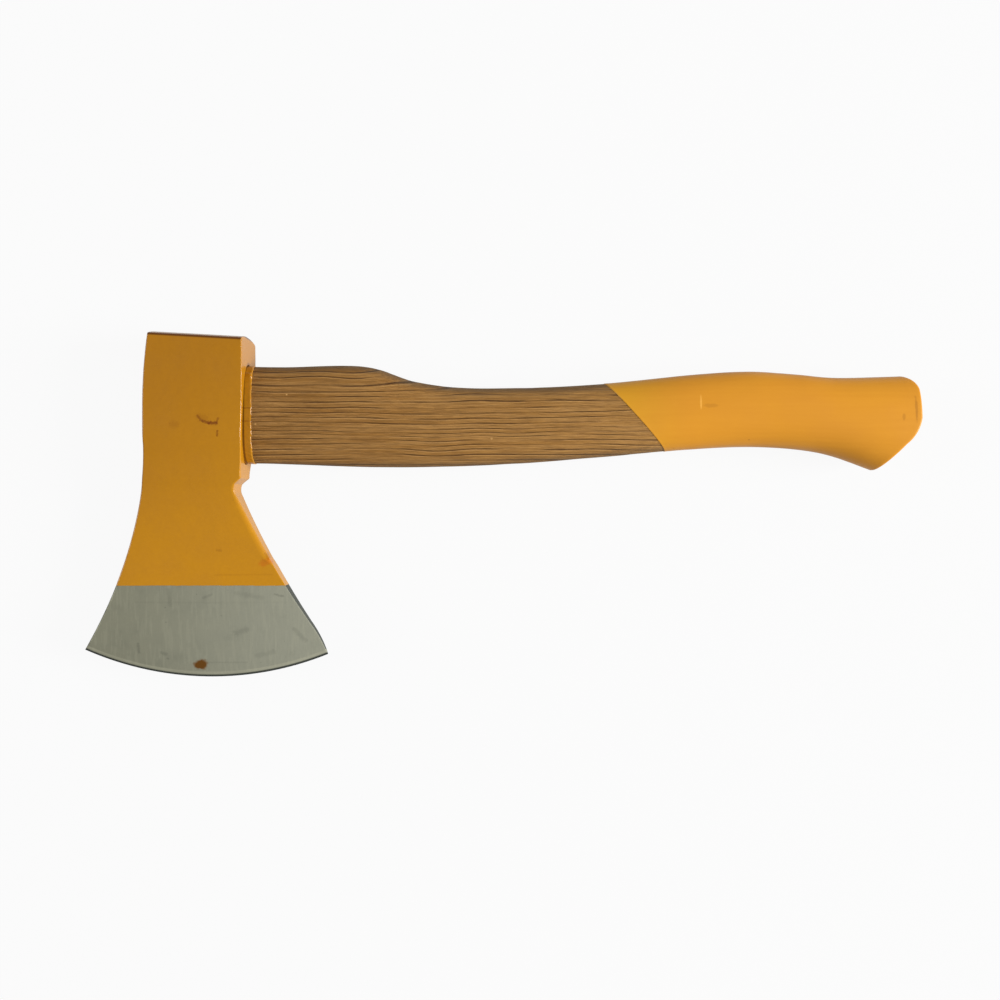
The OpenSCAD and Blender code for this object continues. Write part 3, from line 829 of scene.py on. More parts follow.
@dataclass
class Head:
    """The forging: poll, eye, lug, blade and edge, with its coat of paint."""

    half_t: float
    mid_z: float
    blade_drop: float
    half_w: float = 21.8
    poll_rise: float = 36.8
    poll_slope: float = 3.1
    poll_waist: float = 2.7
    poll_corner_r: float = 1.0
    poll_chamfer: float = 0.8
    dome_drop: float = 2.0
    dome_sag: float = 1.8
    cheek_drop: float = 5.0
    edge_len: float = 110.4
    edge_crown: float = 11.2
    edge_shift: float = 3.2
    toe_low: float = 2.0
    edge_t: float = 0.4
    bevel_w: float = 2.1
    bevel_t: float = 1.9
    blade_t: float = 8.0
    neck_t: float = 12.4
    lug_t: float = 16.6
    lug_drop: float = 28.9
    lug_set_in: float = 1.1
    notch_drop: float = 33.5
    notch_depth: float = 3.5
    eye_h: float = 43.8
    eye_t: float = 17.4
    eye_round: float = 2.5
    paint_end: float = -77.0
    paint_t: float = 0.14
    columns: int = 150
    side_columns: int = 14
    corner_steps: int = 4
    swell: float = 0.5
    pool_at: Spot = (32.6, -65.2)

    def __post_init__(self) -> None:
        """Work out the corners and the two side lines."""
        self.slope = math.tan(math.radians(self.poll_slope))
        corner_y = self.edge_crown - self.blade_drop
        self.heel = (self.edge_shift - self.edge_len / 2, corner_y + self.toe_low / 2)
        self.toe = (self.edge_shift + self.edge_len / 2, corner_y - self.toe_low / 2)
        self.edge_r = (self.edge_len**2 / 4 + self.edge_crown**2) / (2 * self.edge_crown)
        tilt = math.atan(self.toe_low / self.edge_len)
        reach = self.edge_r - self.edge_crown
        self.edge_centre = (self.edge_shift + reach * math.sin(tilt), corner_y + reach * math.cos(tilt))
        lug_x = self.half_w - self.lug_set_in
        notch_x = lug_x - self.notch_depth
        poll_left_x = self.poll_waist - self.half_w
        self.crown_side = arc_line([
            (poll_left_x, self.poll_rise - poll_left_x * self.slope, -0.75), (0.1 - self.half_w, 1, 0),
            (-self.half_w, -14, 5.9), (*self.heel, 0),
        ])[::-1]
        self.front_side = arc_line([
            (*self.toe, -0.6), (self.toe[0] - 7.8, self.toe[1] + 14.6, 1.3),
            (notch_x + 1.1, -self.notch_drop - 3.3, 0.65), (notch_x + 0.4, -self.notch_drop + 2.2, 0),
            (lug_x - 0.7, -self.lug_drop - 0.3, -0.3), (lug_x, -self.lug_drop + 1.2, 0),
            (lug_x, -self.lug_drop + 3.2, -0.3), (self.half_w, -3, 0), (self.half_w, self.poll_rise, 0),
        ])

    def half_thickness(self, x: np.ndarray, y: np.ndarray) -> np.ndarray:
        """Half the head's thickness at a place in side view.

        Args:
            x: Distance along the handle.
            y: Height above the middle of the eye.

        Returns:
            Half the thickness.
        """
        drop, neck, flat = self.blade_drop, self.notch_drop, self.cheek_drop
        full, blade, lug = self.half_t, self.blade_t, self.lug_t
        cheek = curve([
            (-drop - 3, blade * 0.32), (-drop * 0.8, blade * 0.4), (-(drop + neck) / 2, blade / 2),
            (-neck * 1.7, blade * 0.28 + self.neck_t * 0.22), (-neck - 8, self.neck_t / 2 - 0.2),
            (-neck, self.neck_t / 2 + 0.8), (-self.lug_drop, lug / 2),
            (-flat - 14.5, full * 0.42 + lug * 0.29), (-flat - 7.5, full - 0.8), (-flat - 3, full - 0.12),
            (-flat, full),
        ], y)
        behind = self.edge_r - np.hypot(x - self.edge_centre[0], y - self.edge_centre[1])
        lens = curve([
            (0, self.edge_t / 2), (self.bevel_w * 0.5, self.bevel_t * 0.3 + self.edge_t * 0.2),
            (self.bevel_w, self.bevel_t / 2), (drop * 0.055, self.bevel_t / 2 + 0.6),
            (drop * 0.13, blade * 0.3), (drop * 0.26, blade * 0.44), (drop * 0.38, blade * 0.63),
            (drop * 0.5, blade * 0.9), (drop * 0.68, full * 1.1),
        ], np.maximum(behind, 0))
        return smooth_min(cheek, lens, 0.5)

    def corner_radii(self, y: float) -> tuple[float, float]:
        """Radius of the long corners on the crown side and on the handle side, at a height."""
        crown = np.interp(y, [-40, 20], [0.7, 0.6])
        front = np.interp(y, [-100, -68, -65, -55, -42, -35, -24, 20],
                          [0.3, 0.35, 2.9, 2.8, 2.3, 1.3, 0.5, 0.35])
        return float(crown), float(front)

    def rows(self) -> list[Row]:
        """The head's rows from poll to edge.

        Returns:
            For each row the height of its crown and handle ends, how far they stand in from the side lines,
            how much thinner it is for want of paint, the share of the edge's bow, and a fixed half thickness,
            or 0 where the head's own is used.
        """
        crest_left = self.poll_rise + (self.half_w - self.poll_waist) * self.slope
        crest_right = self.poll_rise - self.half_w * self.slope
        flat_z = self.half_t - self.poll_chamfer
        dome_r = (flat_z**2 + self.dome_sag**2) / (2 * self.dome_sag)
        faces = []
        for z in np.linspace(0.5, flat_z, 16):
            faces.append((self.dome_drop - self.dome_sag + dome_r - math.sqrt(dome_r**2 - z**2), float(z)))
        for turn in np.radians([30, 60, 90]):
            faces.append((self.dome_drop + self.poll_chamfer * (1 - math.cos(turn)),
                          flat_z + self.poll_chamfer * math.sin(turn)))
        made = []
        for fall, z in faces:
            near = max(0.0, 1 - fall / (self.poll_corner_r + 1))
            inset = self.poll_corner_r * (1 - math.sqrt(max(0.0, 1 - near**2)))
            made.append((crest_left - fall, crest_right - fall, inset, 0.0, 0.0, z))
        start = self.dome_drop + self.poll_chamfer + 0.4
        heights = np.concatenate([
            np.arange(crest_right - start, -24, -0.85), np.arange(-24, -38, -0.35),
            np.arange(-38, -63, -0.75), np.arange(-63, -70, -0.4),
            np.arange(-70, self.paint_end + 0.1, -0.75),
        ])
        leans = (crest_left - crest_right) * smooth_step(14.0, crest_right - start, heights)
        made += [(y + lean, y, 0.0, 0.0, 0.0, 0.0) for y, lean in zip(heights.tolist(), leans.tolist())]
        made.append((self.paint_end, self.paint_end, 0.0, 0.0, 0.0, 0.0))
        made.append((self.paint_end - 0.1, self.paint_end - 0.1, 0.0, self.paint_t, 0.0, 0.0))
        for share in np.concatenate([np.linspace(0.015, 0.93, 56), np.linspace(0.937, 1.0, 14)]):
            left = self.paint_end + (self.heel[1] - self.paint_end) * share
            right = self.paint_end + (self.toe[1] - self.paint_end) * share
            made.append((left, right, 0.0, self.paint_t * (1 - share), share, 0.0))
        return made

    def row_loop(self, row: Row) -> np.ndarray:
        """The closed loop of points round the head at one row."""
        left_y, right_y, inset, bare, bow, fixed = row
        left = float(np.interp(left_y, self.crown_side[:, 1], self.crown_side[:, 0])) + inset
        right = float(np.interp(right_y, self.front_side[:, 1], self.front_side[:, 0])) - inset

        def height(x: np.ndarray) -> np.ndarray:
            """Height of the row at x."""
            share = (x - left) / (right - left)
            chord = self.edge_len * (share - 0.5)
            sag = np.sqrt(self.edge_r**2 - chord**2) - (self.edge_r - self.edge_crown)
            wobble = 0.12 * ripple_along(x / 3.0, 5) if abs(left_y - self.paint_end) < 0.3 else 0
            return left_y + (right_y - left_y) * share - bow * sag + wobble

        def half(x: np.ndarray) -> np.ndarray:
            """Half thickness of the row at x."""
            own = np.full(len(x), fixed) if fixed else self.half_thickness(x, height(x)) - bare
            return np.maximum(own, self.edge_t / 2)

        turns = np.linspace(0, math.pi / 2, self.corner_steps + 1)[1:]
        levels = np.linspace(1, -1, self.side_columns)[1:-1]

        def side(edge: float, inward: int, radius: float, fall: float,
                 end: float) -> tuple[np.ndarray, np.ndarray]:
            """X and Z of one narrow side, from the upper cheek to the lower one."""
            bend = edge + inward * radius * (1 - np.sin(turns))
            corner = end - fall * (1 - np.cos(turns))
            x = np.concatenate([bend, np.full(len(levels), edge), bend[::-1]])
            return x, np.concatenate([corner, (end - fall) * levels, -corner[::-1]])

        ends = half(np.array([left, right]))
        r_left, r_right = (min(r, end * 0.8) for r, end in zip(self.corner_radii(left_y), ends))
        across = np.linspace(left + r_left, right - r_right, self.columns)
        top = np.stack([across, height(across), half(across)], 1)
        x_right, z_right = side(right, -1, r_right, r_right * (0.5 if r_right > 1 else 1), ends[1])
        x_left, z_left = side(left, 1, r_left, r_left, ends[0])
        front = np.stack([x_right, height(x_right), z_right], 1)
        crown = np.stack([x_left, height(x_left), -z_left], 1)
        return np.vstack([top, front, top[::-1] * np.array([1, 1, -1]), crown])

    def forge(self) -> Object:
        """Build the head with its eye cut through."""
        loops = [self.row_loop(row) for row in self.rows()]
        sides = len(loops[0])
        points = np.vstack(loops)
        faces = loft_faces(len(loops), sides, capped=False)
        n = self.columns
        opposite = (sides - 2 * n) // 2 + 2 * n - 1
        for base in (0, (len(loops) - 1) * sides):
            for i in range(n - 1):
                faces.append((base + i, base + i + 1, base + opposite - i - 1, base + opposite - i))
            faces.append(tuple(base + i for i in range(n - 1, opposite - n + 2)))
            faces.append(tuple(base + i % sides for i in range(opposite, sides + 1)))
        away = np.sign(points[:, 2]) * smooth_step(0.6, 3.0, np.abs(points[:, 2]))
        hammered = 0.07 * ripple(points / 11.0, 1) + 0.03 * ripple(points / 3.2, 2) - 0.07
        calm = smooth_step(-self.blade_drop, -self.blade_drop + 24, points[:, 1])
        pool = np.exp(-(((points[:, :2] - self.pool_at) / (2.0, 1.2)) ** 2).sum(1))
        points[:, 2] += away * (hammered * calm + 0.45 * pool * (points[:, 2] > 0)) + self.mid_z
        belt = np.exp(-(((points[:, 1] - 18) / 22) ** 4))
        points[:, 0] += self.swell * smooth_step(15, 21, points[:, 0]) * belt
        head = make_piece("forged_head", points, faces)
        cut_out(head, self.eye_cutter())
        return head

    def eye_cutter(self) -> Object:
        """The shape of the eye, opening out a little at both mouths."""
        sides = 160
        turn = np.linspace(0, 2 * math.pi, sides, endpoint=False)
        rings = []
        for x, grow in ((-30, 0.9), (-self.half_w, 0.45), (-19, 0), (19, 0), (self.half_w, 0.8), (30, 3.2)):
            rounder = self.eye_round - (0.35 if x > 19 else 0)
            y, z = superellipse(self.eye_h + 2 * grow, self.eye_t + 2 * grow, rounder, turn)
            rings.append(np.stack([np.full(sides, float(x)), y, z + self.mid_z], 1))
        return make_piece("eye_cutter", np.vstack(rings), loft_faces(len(rings), sides), rides=False)

    def build(self, paint: Material, steel: Material) -> Object:
        """Build the head, painted down to its paint line and bare steel below it."""
        head = self.forge()
        bare = face_centres(head)[:, 1] < self.paint_end - 0.02
        return complete(head, [paint, steel], 28, "head", bare)


# ---- handle ----


@dataclass
class Handle:
    """The curved wooden handle, from its tongue in the eye to its hooked butt."""

    tongue_x: float
    butt_x: float
    mid_z: float
    half_w: float = 21.8
    eye_h: float = 43.8
    eye_t: float = 17.4
    eye_round: float = 2.5
    throat_h: float = 45.8
    waist_h: float = 34.4
    grip_h: float = 33.8
    butt_h: float = 42.7
    throat_t: float = 20.0
    waist_t: float = 20.5
    grip_t: float = 23.5
    butt_t: float = 25.8
    belly_drop: float = 23.7
    grip_drop: float = 14.2
    handle_round: float = 2.3
    butt_top: float = 17.4
    butt_face_h: float = 10.4
    butt_round_over: float = 8.0
    butt_round_under: float = 12.6
    butt_cut: float = 47.0
    lacquer_top: tuple[float, float] = (184.2, 13.5)
    lacquer_lean: float = 0.9
    lacquer_t: float = 0.14
    sides: int = 252
    fit_gap: float = 0.04
    ring_pitch: float = 2.35
    rim_r: float = 0.9
    bead_reach: float = 3.7

    def station(self, share: float) -> float:
        """Distance along the handle at a share of the length outside the head."""
        return self.half_w + share * (self.butt_x - self.half_w)

    def __post_init__(self) -> None:
        """Set up the lines that the handle follows."""
        at = self.station
        butt_low = self.butt_top - self.butt_h
        throat, grip = self.belly_drop, self.grip_drop
        start = self.tongue_x - 0.1
        self.belly = [
            (start, -self.eye_h / 2), (at(0), 0.1 - self.eye_h / 2), (at(0.225), -throat),
            (at(0.398), 1.6 - throat), (at(0.54), 4.9 - throat), (at(0.66), -grip - 1.3), (at(0.752), -grip),
            (at(0.823), -grip - 1.1), (at(0.878), -grip - 4),
            (at(0.945), butt_low - 0.2), (at(1.05), butt_low - 12),
        ]
        self.height = [
            (start, self.eye_h), (at(0), self.eye_h), (at(0.06), self.eye_h + 0.3), (at(0.15), self.throat_h),
            (at(0.195), self.throat_h - 1.2), (at(0.249), self.throat_h * 0.42 + self.waist_h * 0.58),
            (at(0.316), self.waist_h + 1.4), (at(0.398), self.waist_h),
            (at(0.54), (self.waist_h + self.grip_h) / 2 - 1), (at(0.752), self.grip_h),
            (at(0.823), self.grip_h - 0.2), (at(0.878), self.grip_h + 1.2),
            (at(0.945), self.butt_h - 0.1), (at(1.05), self.butt_h + 13),
        ]
        self.thickness = [
            (start, self.eye_t), (at(0), self.eye_t), (at(0.134), self.throat_t), (at(0.398), self.waist_t),
            (at(0.752), self.grip_t), (at(0.945), self.butt_t), (at(1.05), self.butt_t),
        ]
        self.roundness = [(start, self.eye_round), (at(0), self.eye_round), (at(0.134), self.handle_round),
                          (at(1.05), self.handle_round)]
        face_high = (self.butt_x, self.butt_top - self.butt_round_over)
        face_low = (self.butt_x, face_high[1] - self.butt_face_h)
        cut_high = (face_low[0] - 0.53 * self.butt_round_under, face_low[1] - self.butt_round_under)
        beyond = 40.0
        away = beyond / math.tan(math.radians(self.butt_cut))
        self.end_line = arc_line([
            (cut_high[0] - away, cut_high[1] - beyond, 0), (*cut_high, -1.4), (*face_low, -0.15),
            (*face_high, -1.5),
            (self.butt_x - 0.66 * self.butt_round_over, self.butt_top, 0),
        ])
        self.end_line[:, 0] = np.minimum(self.end_line[:, 0], self.butt_x - 0.1)
        self.turn = np.linspace(0, 2 * math.pi, self.sides, endpoint=False)

    def surface(self, x: np.ndarray, turn: np.ndarray, grow: float | np.ndarray = 0.0) -> np.ndarray:
        """Points on the handle.

        Args:
            x: Distance along the handle, one for each point.
            turn: Angle round the section, one for each point.
            grow: How far the points stand out from the wood.

        Returns:
            The points, about the middle plane.
        """
        inside = x <= self.half_w
        play = np.where(inside, 2 * self.fit_gap, 0)
        tall = curve(self.height, x) - play
        thick = curve(self.thickness, x) - play
        middle = np.where(inside, 0, curve(self.belly, x) + tall / 2)
        roundness = curve(self.roundness, x)
        y, z = superellipse(tall, thick, roundness, turn)
        lean_y = np.sign(y) * np.abs(2 * y / tall) ** (roundness - 1) / tall
        lean_z = np.sign(z) * np.abs(2 * z / thick) ** (roundness - 1) / thick
        size = np.hypot(lean_y, lean_z) + 1e-9
        return np.stack([x, y + middle + grow * lean_y / size, z + grow * lean_z / size], 1)

    def meet(self, line_x: object, low: float, high: float) -> np.ndarray:
        """Where each line along the handle meets a cut across it.

        Args:
            line_x: Function that gives the cut's x at a height.
            low: A place before the cut.
            high: A place past it.

        Returns:
            The x of the cut at each angle.
        """
        before = np.full(self.sides, low)
        past = np.full(self.sides, high)
        for _ in range(40):
            middle = (before + past) / 2
            outside = middle > line_x(self.surface(middle, self.turn)[:, 1])
            past = np.where(outside, middle, past)
            before = np.where(outside, before, middle)
        return (before + past) / 2

    def end_x(self, y: np.ndarray) -> np.ndarray:
        """The x of the butt's end at a height."""
        return np.interp(y, self.end_line[:, 1], self.end_line[:, 0])

    def lacquer_x(self, y: np.ndarray) -> np.ndarray:
        """The x of the straight edge of the lacquer at a height."""
        return self.lacquer_top[0] + (self.lacquer_top[1] - y) * self.lacquer_lean

    def rings(self, points: np.ndarray) -> np.ndarray:
        """Which growth ring each place is in, as a number that rises by one from ring to ring.

        Args:
            points: Places in the wood, in millimetres.

        Returns:
            The smooth number of the ring.
        """
        across = points[:, 1] + 0.2 * points[:, 2] + 2.2 * ripple(points / (58.0, 30.0, 14.0), 11)
        across += 0.6 * ripple(points / (18.0, 8.0, 8.0), 12)
        return (across + 0.8 * ripple_along(across / 4.5, 13)) / self.ring_pitch

    def grooves(self, rings: np.ndarray) -> np.ndarray:
        """Depth of the open grain, from 0 to 1, by growth ring."""
        return smooth_step(0.26, 0.04, np.abs(rings - np.floor(rings) - 0.5))

    def carve(self) -> Object:
        """Build the handle, with its tongue, its open grain and its coat."""
        start = np.full(self.sides, self.tongue_x)
        mouth = np.full(self.sides, self.half_w)
        edge = self.meet(self.lacquer_x, 150.0, 250.0)
        end = self.meet(self.end_x, 280.0, self.butt_x + 3) - self.rim_r
        rings = [start + (mouth - start) * t for t in np.linspace(0, 1, 20)]
        rings += [mouth + (edge - mouth) * t for t in np.linspace(0.002, 1, 158)]
        grows = [0.0] * len(rings)
        bare_points = len(rings) * self.sides
        for t in np.concatenate([[0.0005, 0.002], np.linspace(0.008, 1, 112)]):
            rings.append(edge + (end - edge) * t)
            grows.append(self.lacquer_t * (0.3 if t < 0.001 else 1 + 0.5 * math.exp(-t / 0.008)))
        loops = [self.surface(x, self.turn, grow) for x, grow in zip(rings, grows)]
        stem = np.vstack(loops)
        outside = stem[:, 0] > self.half_w
        bare = (np.arange(len(stem)) < bare_points) & outside
        depth = np.where(bare, 0.07, 0.02) * self.grooves(self.rings(stem))
        depth += np.where(bare, 0.04, 0.05) * ripple(stem / (16, 5, 5), 31)
        middle = np.repeat([loop[:, 1].mean() for loop in loops], self.sides)
        out = np.stack([stem[:, 0] * 0, stem[:, 1] - middle, stem[:, 2] * 4], 1)
        out /= np.linalg.norm(out, axis=1)[:, None] + 1e-9
        stem -= out * np.where(outside, depth, 0)[:, None]
        points = np.vstack([stem, *self.end_rings(stem[-self.sides:])])
        ring = self.rings(points).astype(np.float32)
        points[:, 2] += self.mid_z
        handle = make_piece("curved_handle", points, loft_faces(len(points) // self.sides, self.sides))
        handle.data.attributes.new("ring", "FLOAT", "POINT").data.foreach_set("value", ring)
        return handle

    def end_rings(self, rim: np.ndarray) -> list[np.ndarray]:
        """Close the butt with a softly rounded rim and a slightly domed end.

        Args:
            rim: The last ring of the handle's wall.

        Returns:
            The rings of the end.
        """
        centre = np.array([0, rim[:, 1].mean(), 0])
        radius = (rim[:, 1].max() - rim[:, 1].min()) / 2
        steps = []
        for turn in np.radians([12, 24, 36, 48, 60, 72, 84]):
            share = 1 - self.rim_r * (1 - math.cos(turn)) / radius * 2
            steps.append((share, -self.rim_r * (1 - math.sin(turn))))
        for share in (0.88, 0.8, 0.7, 0.6, 0.5, 0.4, 0.3, 0.2, 0.1, 0.03):
            steps.append((share, 0.1 * (1 - share)))
        rings = []
        for share, rise in steps:
            ring = centre + (rim - centre) * share
            ring[:, 0] = self.end_x(ring[:, 1]) + rise
            rings.append(ring)
        return rings

    def build(self, wood: Material, lacquer: Material, slots: list[Object]) -> Object:
        """Build and dress the handle.

        Args:
            wood: The bare wood.
            lacquer: The grip's coat.
            slots: Shapes of the wedges, which are cut out of the tongue.

        Returns:
            The handle.
        """
        handle = self.carve()
        for slot in slots:
            cut_out(handle, slot)
        centres = face_centres(handle)
        coated = centres[:, 0] > self.lacquer_x(centres[:, 1]) + 0.02
        return complete(handle, [wood, lacquer], 40, "handle", coated)

    def paint_bead(self, paint: Material) -> Object:
        """The ragged bead of paint that ran from the head on to the wood."""
        around = 420
        turn = np.linspace(0, 2 * math.pi, around, endpoint=False)
        key = np.stack([np.cos(turn) * 9, np.sin(turn) * 9, turn * 0], 1)
        reach = self.bead_reach + 0.14 * ripple(key, 41) + 0.08 * ripple(key * 3.1, 42)
        drip = 1 + 2.2 * np.exp(-((turn - 0.75) / 0.1) ** 2)
        profile = [(-2.0, 0.14), (0, 0.2), (0.3, 0.22), (0.6, 0.26), (0.8, 0.3), (0.93, 0.3), (1.0, 0.12)]
        rings = []
        for share, rise in profile + [(share, -0.15) for share in (1.0, 0.5, 0, -2.0)]:
            x = self.half_w + share * np.where(share > 0, reach, 1.0)
            lumps = (1 + 0.4 * ripple(key * 1.6 + share * 1.7, 43)) * drip if rise > 0 else 1
            rings.append(self.surface(np.maximum(x, self.half_w + 0.01), turn, rise * lumps))
            rings[-1][:, 0] = x
        points = np.vstack(rings)
        points[:, 2] += self.mid_z
        faces = loft_faces(len(rings), around, capped=False)
        last = (len(rings) - 1) * around
        faces += [(last + i, last + (i + 1) % around, (i + 1) % around, i) for i in range(around)]
        return complete(make_piece("paint_bead", points, faces), [paint], 60)


# ---- wedges ----


@dataclass
class Wedges:
    """The wooden wedge and the two barbed steel wedges that spread the tongue in the eye."""

    start_x: float
    mid_z: float
    wood_span: float
    steel_y: float
    steel_w: float
    wood_d: float = 30.0
    wood_t: float = 4.6
    wood_tip: float = 1.12
    steel_d: float = 21.0
    steel_t: float = 3.8
    steel_tip: float = 0.6
    barbs: int = 4
    barb_h: float = 0.35
    gap: float = 0.04
    slot_lead: float = 0.3

    def slab(self, name: str, outline: Points, axis: int, low: float, high: float,
             rides: bool = True) -> Object:
        """A flat solid with a given outline.

        Args:
            name: Its name.
            outline: Points as depth and the direction that it is thin in.
            axis: 1 if it is drawn out along Y, or 2 if along Z.
            low: Where it starts.
            high: Where it ends.
            rides: Whether it belongs to the object.

        Returns:
            The solid.
        """
        cuts = 24
        rings = []
        for across in np.linspace(low, high, cuts):
            for x, thin in outline:
                rings.append((x, across, thin + self.mid_z) if axis == 1 else (x, thin, across + self.mid_z))
        return make_piece(name, np.array(rings), loft_faces(cuts, len(outline)), rides)

    def wood_outline(self, grow: float) -> Points:
        """Outline of the wooden wedge, seen along the eye."""
        outer, tip = self.wood_t / 2 + grow, self.wood_tip / 2 + grow
        steps = np.linspace(0, 1, 14)
        near = -self.slot_lead if grow else 0.0
        upper = [(self.start_x + near + (self.wood_d - near) * t, outer + (tip - outer) * t) for t in steps]
        return upper + [(x, -z) for x, z in upper[::-1]]

    def steel_outline(self, grow: float) -> Points:
        """Outline of a steel wedge with its barbs, grown all over by grow."""
        pitch = self.steel_d / (self.barbs + 1)

        def plain(depth: float) -> float:
            """Half thickness of the plain taper at a depth."""
            return (self.steel_t + (self.steel_tip - self.steel_t) * depth / self.steel_d) / 2

        near = -self.slot_lead if grow else 0.0
        upper = [(near, self.steel_t / 2 - self.barb_h / 2 + grow)]
        for i in range(self.barbs):
            depth = pitch * (0.7 + i)
            upper.append((depth, plain(depth) - self.barb_h + grow))
            upper.append((depth + 0.3, plain(depth) + grow))
        upper.append((self.steel_d + grow, self.steel_tip / 2 + grow))
        return [(self.start_x + x, z) for x, z in upper] + [(self.start_x + x, -z) for x, z in upper[::-1]]

    def steel_slab(self, name: str, side: int, grow: float, rides: bool) -> Object:
        """One steel wedge, or the slot that it sits in."""
        half = self.steel_w / 2 + grow
        outline = [(x, side * self.steel_y + thin) for x, thin in self.steel_outline(grow)]
        return self.slab(name, outline, 2, -half, half, rides)

    def slots(self) -> list[Object]:
        """The shapes that the wedges take out of the tongue."""
        half = self.wood_span / 2 + 12
        made = [self.slab("wood_slot", self.wood_outline(self.gap), 1, -half, half, False)]
        made += [self.steel_slab("steel_slot", side, self.gap, False) for side in (-1, 1)]
        return made

    def build(self, wood: Material, steel: Material) -> None:
        """Build and dress the three wedges."""
        half = self.wood_span / 2
        sawn = self.slab("spreading_wedge", self.wood_outline(0.0), 1, -half, half)
        for side in (-1, 1):
            cut_out(sawn, self.steel_slab("steel_slot", side, self.gap, False))
        complete(sawn, [wood], 30, "wooden_wedge")
        for side, place in ((1, "poll"), (-1, "bit")):
            barbed = self.steel_slab(f"barbed_wedge_{place}_side", side, 0.0, True)
            complete(barbed, [steel], 30, f"steel_wedge_{place}_side")


# ---- studio ----


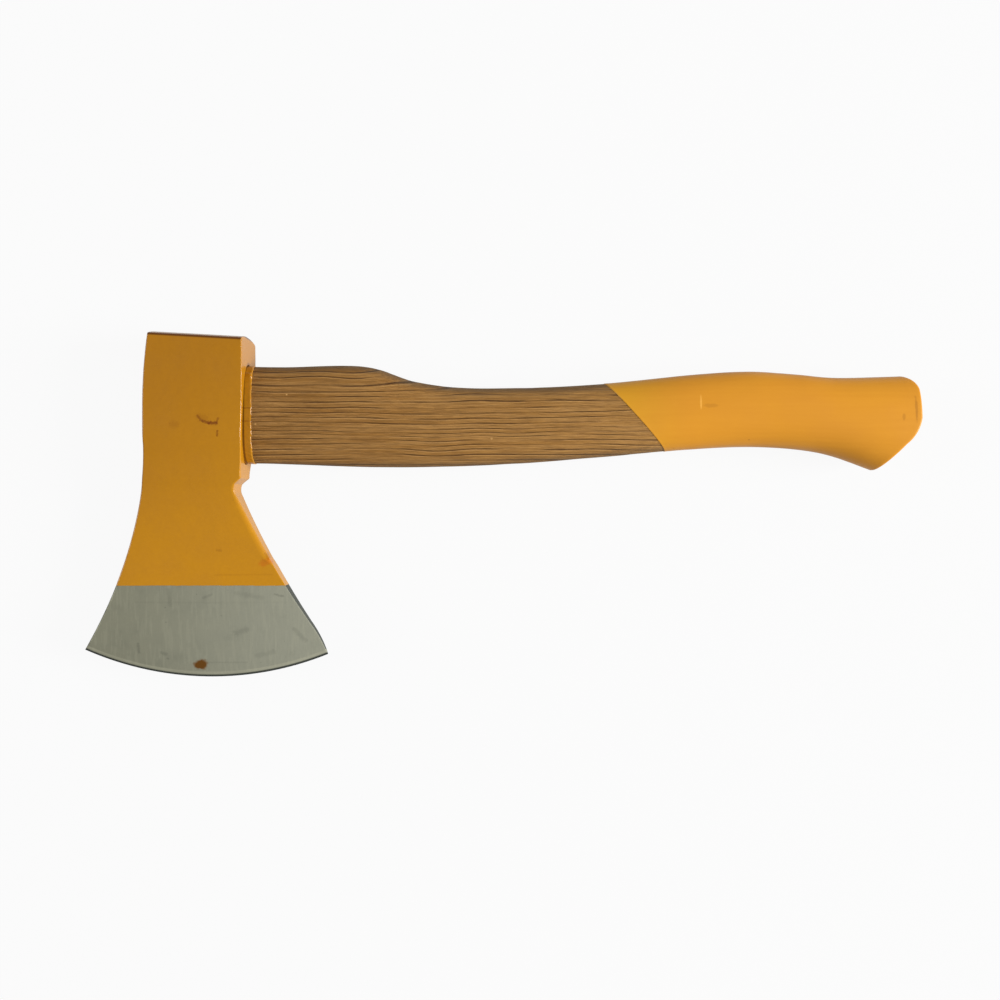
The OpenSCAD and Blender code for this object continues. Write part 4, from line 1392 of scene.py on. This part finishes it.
@dataclass
class Studio:
    """A plain pale floor, soft lights and the camera."""

    eye: tuple[float, float, float] = (0.1365, -0.03845, 0.466)
    lens: float = 35.88
    floor_half: float = 9.0
    floor_z: float = -0.0004
    aim: tuple[float, float, float] = (0.12, -0.03, 0.0)
    key: tuple[float, float, float] = (2.4, -0.15, 1.0)
    fill: tuple[float, float, float] = (-1.8, 0.1, 1.1)

    def build_floor(self) -> None:
        """The pale floor."""
        count = 25
        steps = np.linspace(-self.floor_half, self.floor_half, count) / MM
        points = np.array([(x, y, self.floor_z / MM) for y in steps for x in steps])
        faces = [
            (j * count + i, j * count + i + 1, (j + 1) * count + i + 1, (j + 1) * count + i)
            for j in range(count - 1)
            for i in range(count - 1)
        ]
        floor = make_piece("studio_floor", points, faces, rides=False)
        material, graph, shader = Finish.start("pale_floor")
        grey = graph.noise(graph.place(), 0.01, 2.0)
        graph.feed(shader.inputs["Base Color"], graph.mix(grey, (0.4, 0.4, 0.4), (0.44, 0.44, 0.44)))
        shader.inputs["Roughness"].default_value = 0.9
        shader.inputs["Specular IOR Level"].default_value = 0.0
        glow = graph.node("ShaderNodeEmission")
        seen = graph.node("ShaderNodeLightPath")
        blend = graph.node("ShaderNodeMixShader")
        shown = graph.math("MAXIMUM", graph.times(seen.outputs["Is Camera Ray"], 0.93),
                           graph.times(seen.outputs["Is Glossy Ray"], 0.5))
        graph.feed(blend.inputs[0], shown)
        graph.feed(blend.inputs[1], shader.outputs[0])
        graph.feed(blend.inputs[2], glow.outputs[0])
        graph.feed(material.node_tree.nodes["Material Output"].inputs["Surface"], blend.outputs[0])
        floor.data.materials.append(material)

    def add_light(self, name: str, spot: tuple[float, float, float], size: float, power: float) -> None:
        """Add a soft square light.

        Args:
            name: Its name.
            spot: Where it stands.
            size: Length of its side.
            power: Its power in watts.
        """
        light = bpy.data.lights.new(name, "AREA")
        light.size = size
        light.energy = power
        lamp = bpy.data.objects.new(name, light)
        lamp.location = spot
        lamp.rotation_euler = (Vector(self.aim) - Vector(spot)).to_track_quat("-Z", "Y").to_euler()
        bpy.context.scene.collection.objects.link(lamp)

    def build_lights(self) -> None:
        """Soft light from the low front right, and a weak fill from everywhere."""
        self.add_light("key", self.key, 0.9, 106.0)
        self.add_light("fill", self.fill, 0.8, 17.0)
        world = bpy.data.worlds.new("studio")
        world.use_nodes = True
        graph = Graph(world.node_tree)
        back = world.node_tree.nodes["Background"]
        back.inputs["Strength"].default_value = 1.0
        path = graph.node("ShaderNodeLightPath")
        ambient = graph.mix(path.outputs["Is Glossy Ray"], (0.4, 0.4, 0.4), (0.12, 0.12, 0.12))
        seen = graph.mix(path.outputs["Is Camera Ray"], ambient, (0.945, 0.945, 0.945))
        graph.feed(back.inputs["Color"], seen)
        bpy.context.scene.world = world

    def build_camera(self) -> None:
        """The camera, looking straight down on the hatchet."""
        data = bpy.data.cameras.new("camera")
        data.lens = self.lens
        data.sensor_width = 36.0
        camera = bpy.data.objects.new("camera", data)
        camera.location = self.eye
        bpy.context.scene.collection.objects.link(camera)
        bpy.context.scene.camera = camera

    def build(self) -> None:
        """Build floor, lights and camera."""
        self.build_floor()
        self.build_lights()
        self.build_camera()
        bpy.context.scene.view_settings.view_transform = "Standard"


def main() -> None:
    """Build the hatchet and the studio round it."""
    logging.basicConfig(level=logging.INFO, format="%(name)s: %(message)s")
    head_low, head_high = (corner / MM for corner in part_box("head"))
    handle_low, handle_high = (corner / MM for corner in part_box("handle"))
    wood_low, wood_high = (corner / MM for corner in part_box("wooden_wedge"))
    steel_low, steel_high = (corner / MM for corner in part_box("steel_wedge_poll_side"))
    mid_z = (head_low.z + head_high.z) / 2
    head = Head(half_t=(head_high.z - head_low.z) / 2, mid_z=mid_z, blade_drop=-head_low.y)
    handle = Handle(tongue_x=handle_low.x, butt_x=handle_high.x - 0.15, mid_z=mid_z)
    wedges = Wedges(start_x=wood_low.x, mid_z=mid_z, wood_span=wood_high.y - wood_low.y,
                    steel_y=(steel_low.y + steel_high.y) / 2, steel_w=steel_high.z - steel_low.z)
    effects = Effects()
    paint = PaintFinish(mid_z=mid_z, poll_slope=head.slope, rim_y=head.poll_rise - 2.8).build(effects)
    steel = SteelFinish(edge_centre=head.edge_centre, edge_radius=head.edge_r, bevel=head.bevel_w,
                        mid_z=mid_z).build(effects)
    wood = WoodFinish().build(effects)
    sawn = WoodFinish(name="sawn_wedge_wood", shade=srgb(176, 136, 86), light=srgb(196, 158, 106))
    lacquer = LacquerFinish(butt_x=handle.butt_x).build(effects)
    head.build(paint, steel)
    handle.build(wood, lacquer, wedges.slots())
    handle.paint_bead(paint)
    wedges.build(sawn.build(effects), steel)
    Studio().build()


if __name__ == "__main__":
    main()
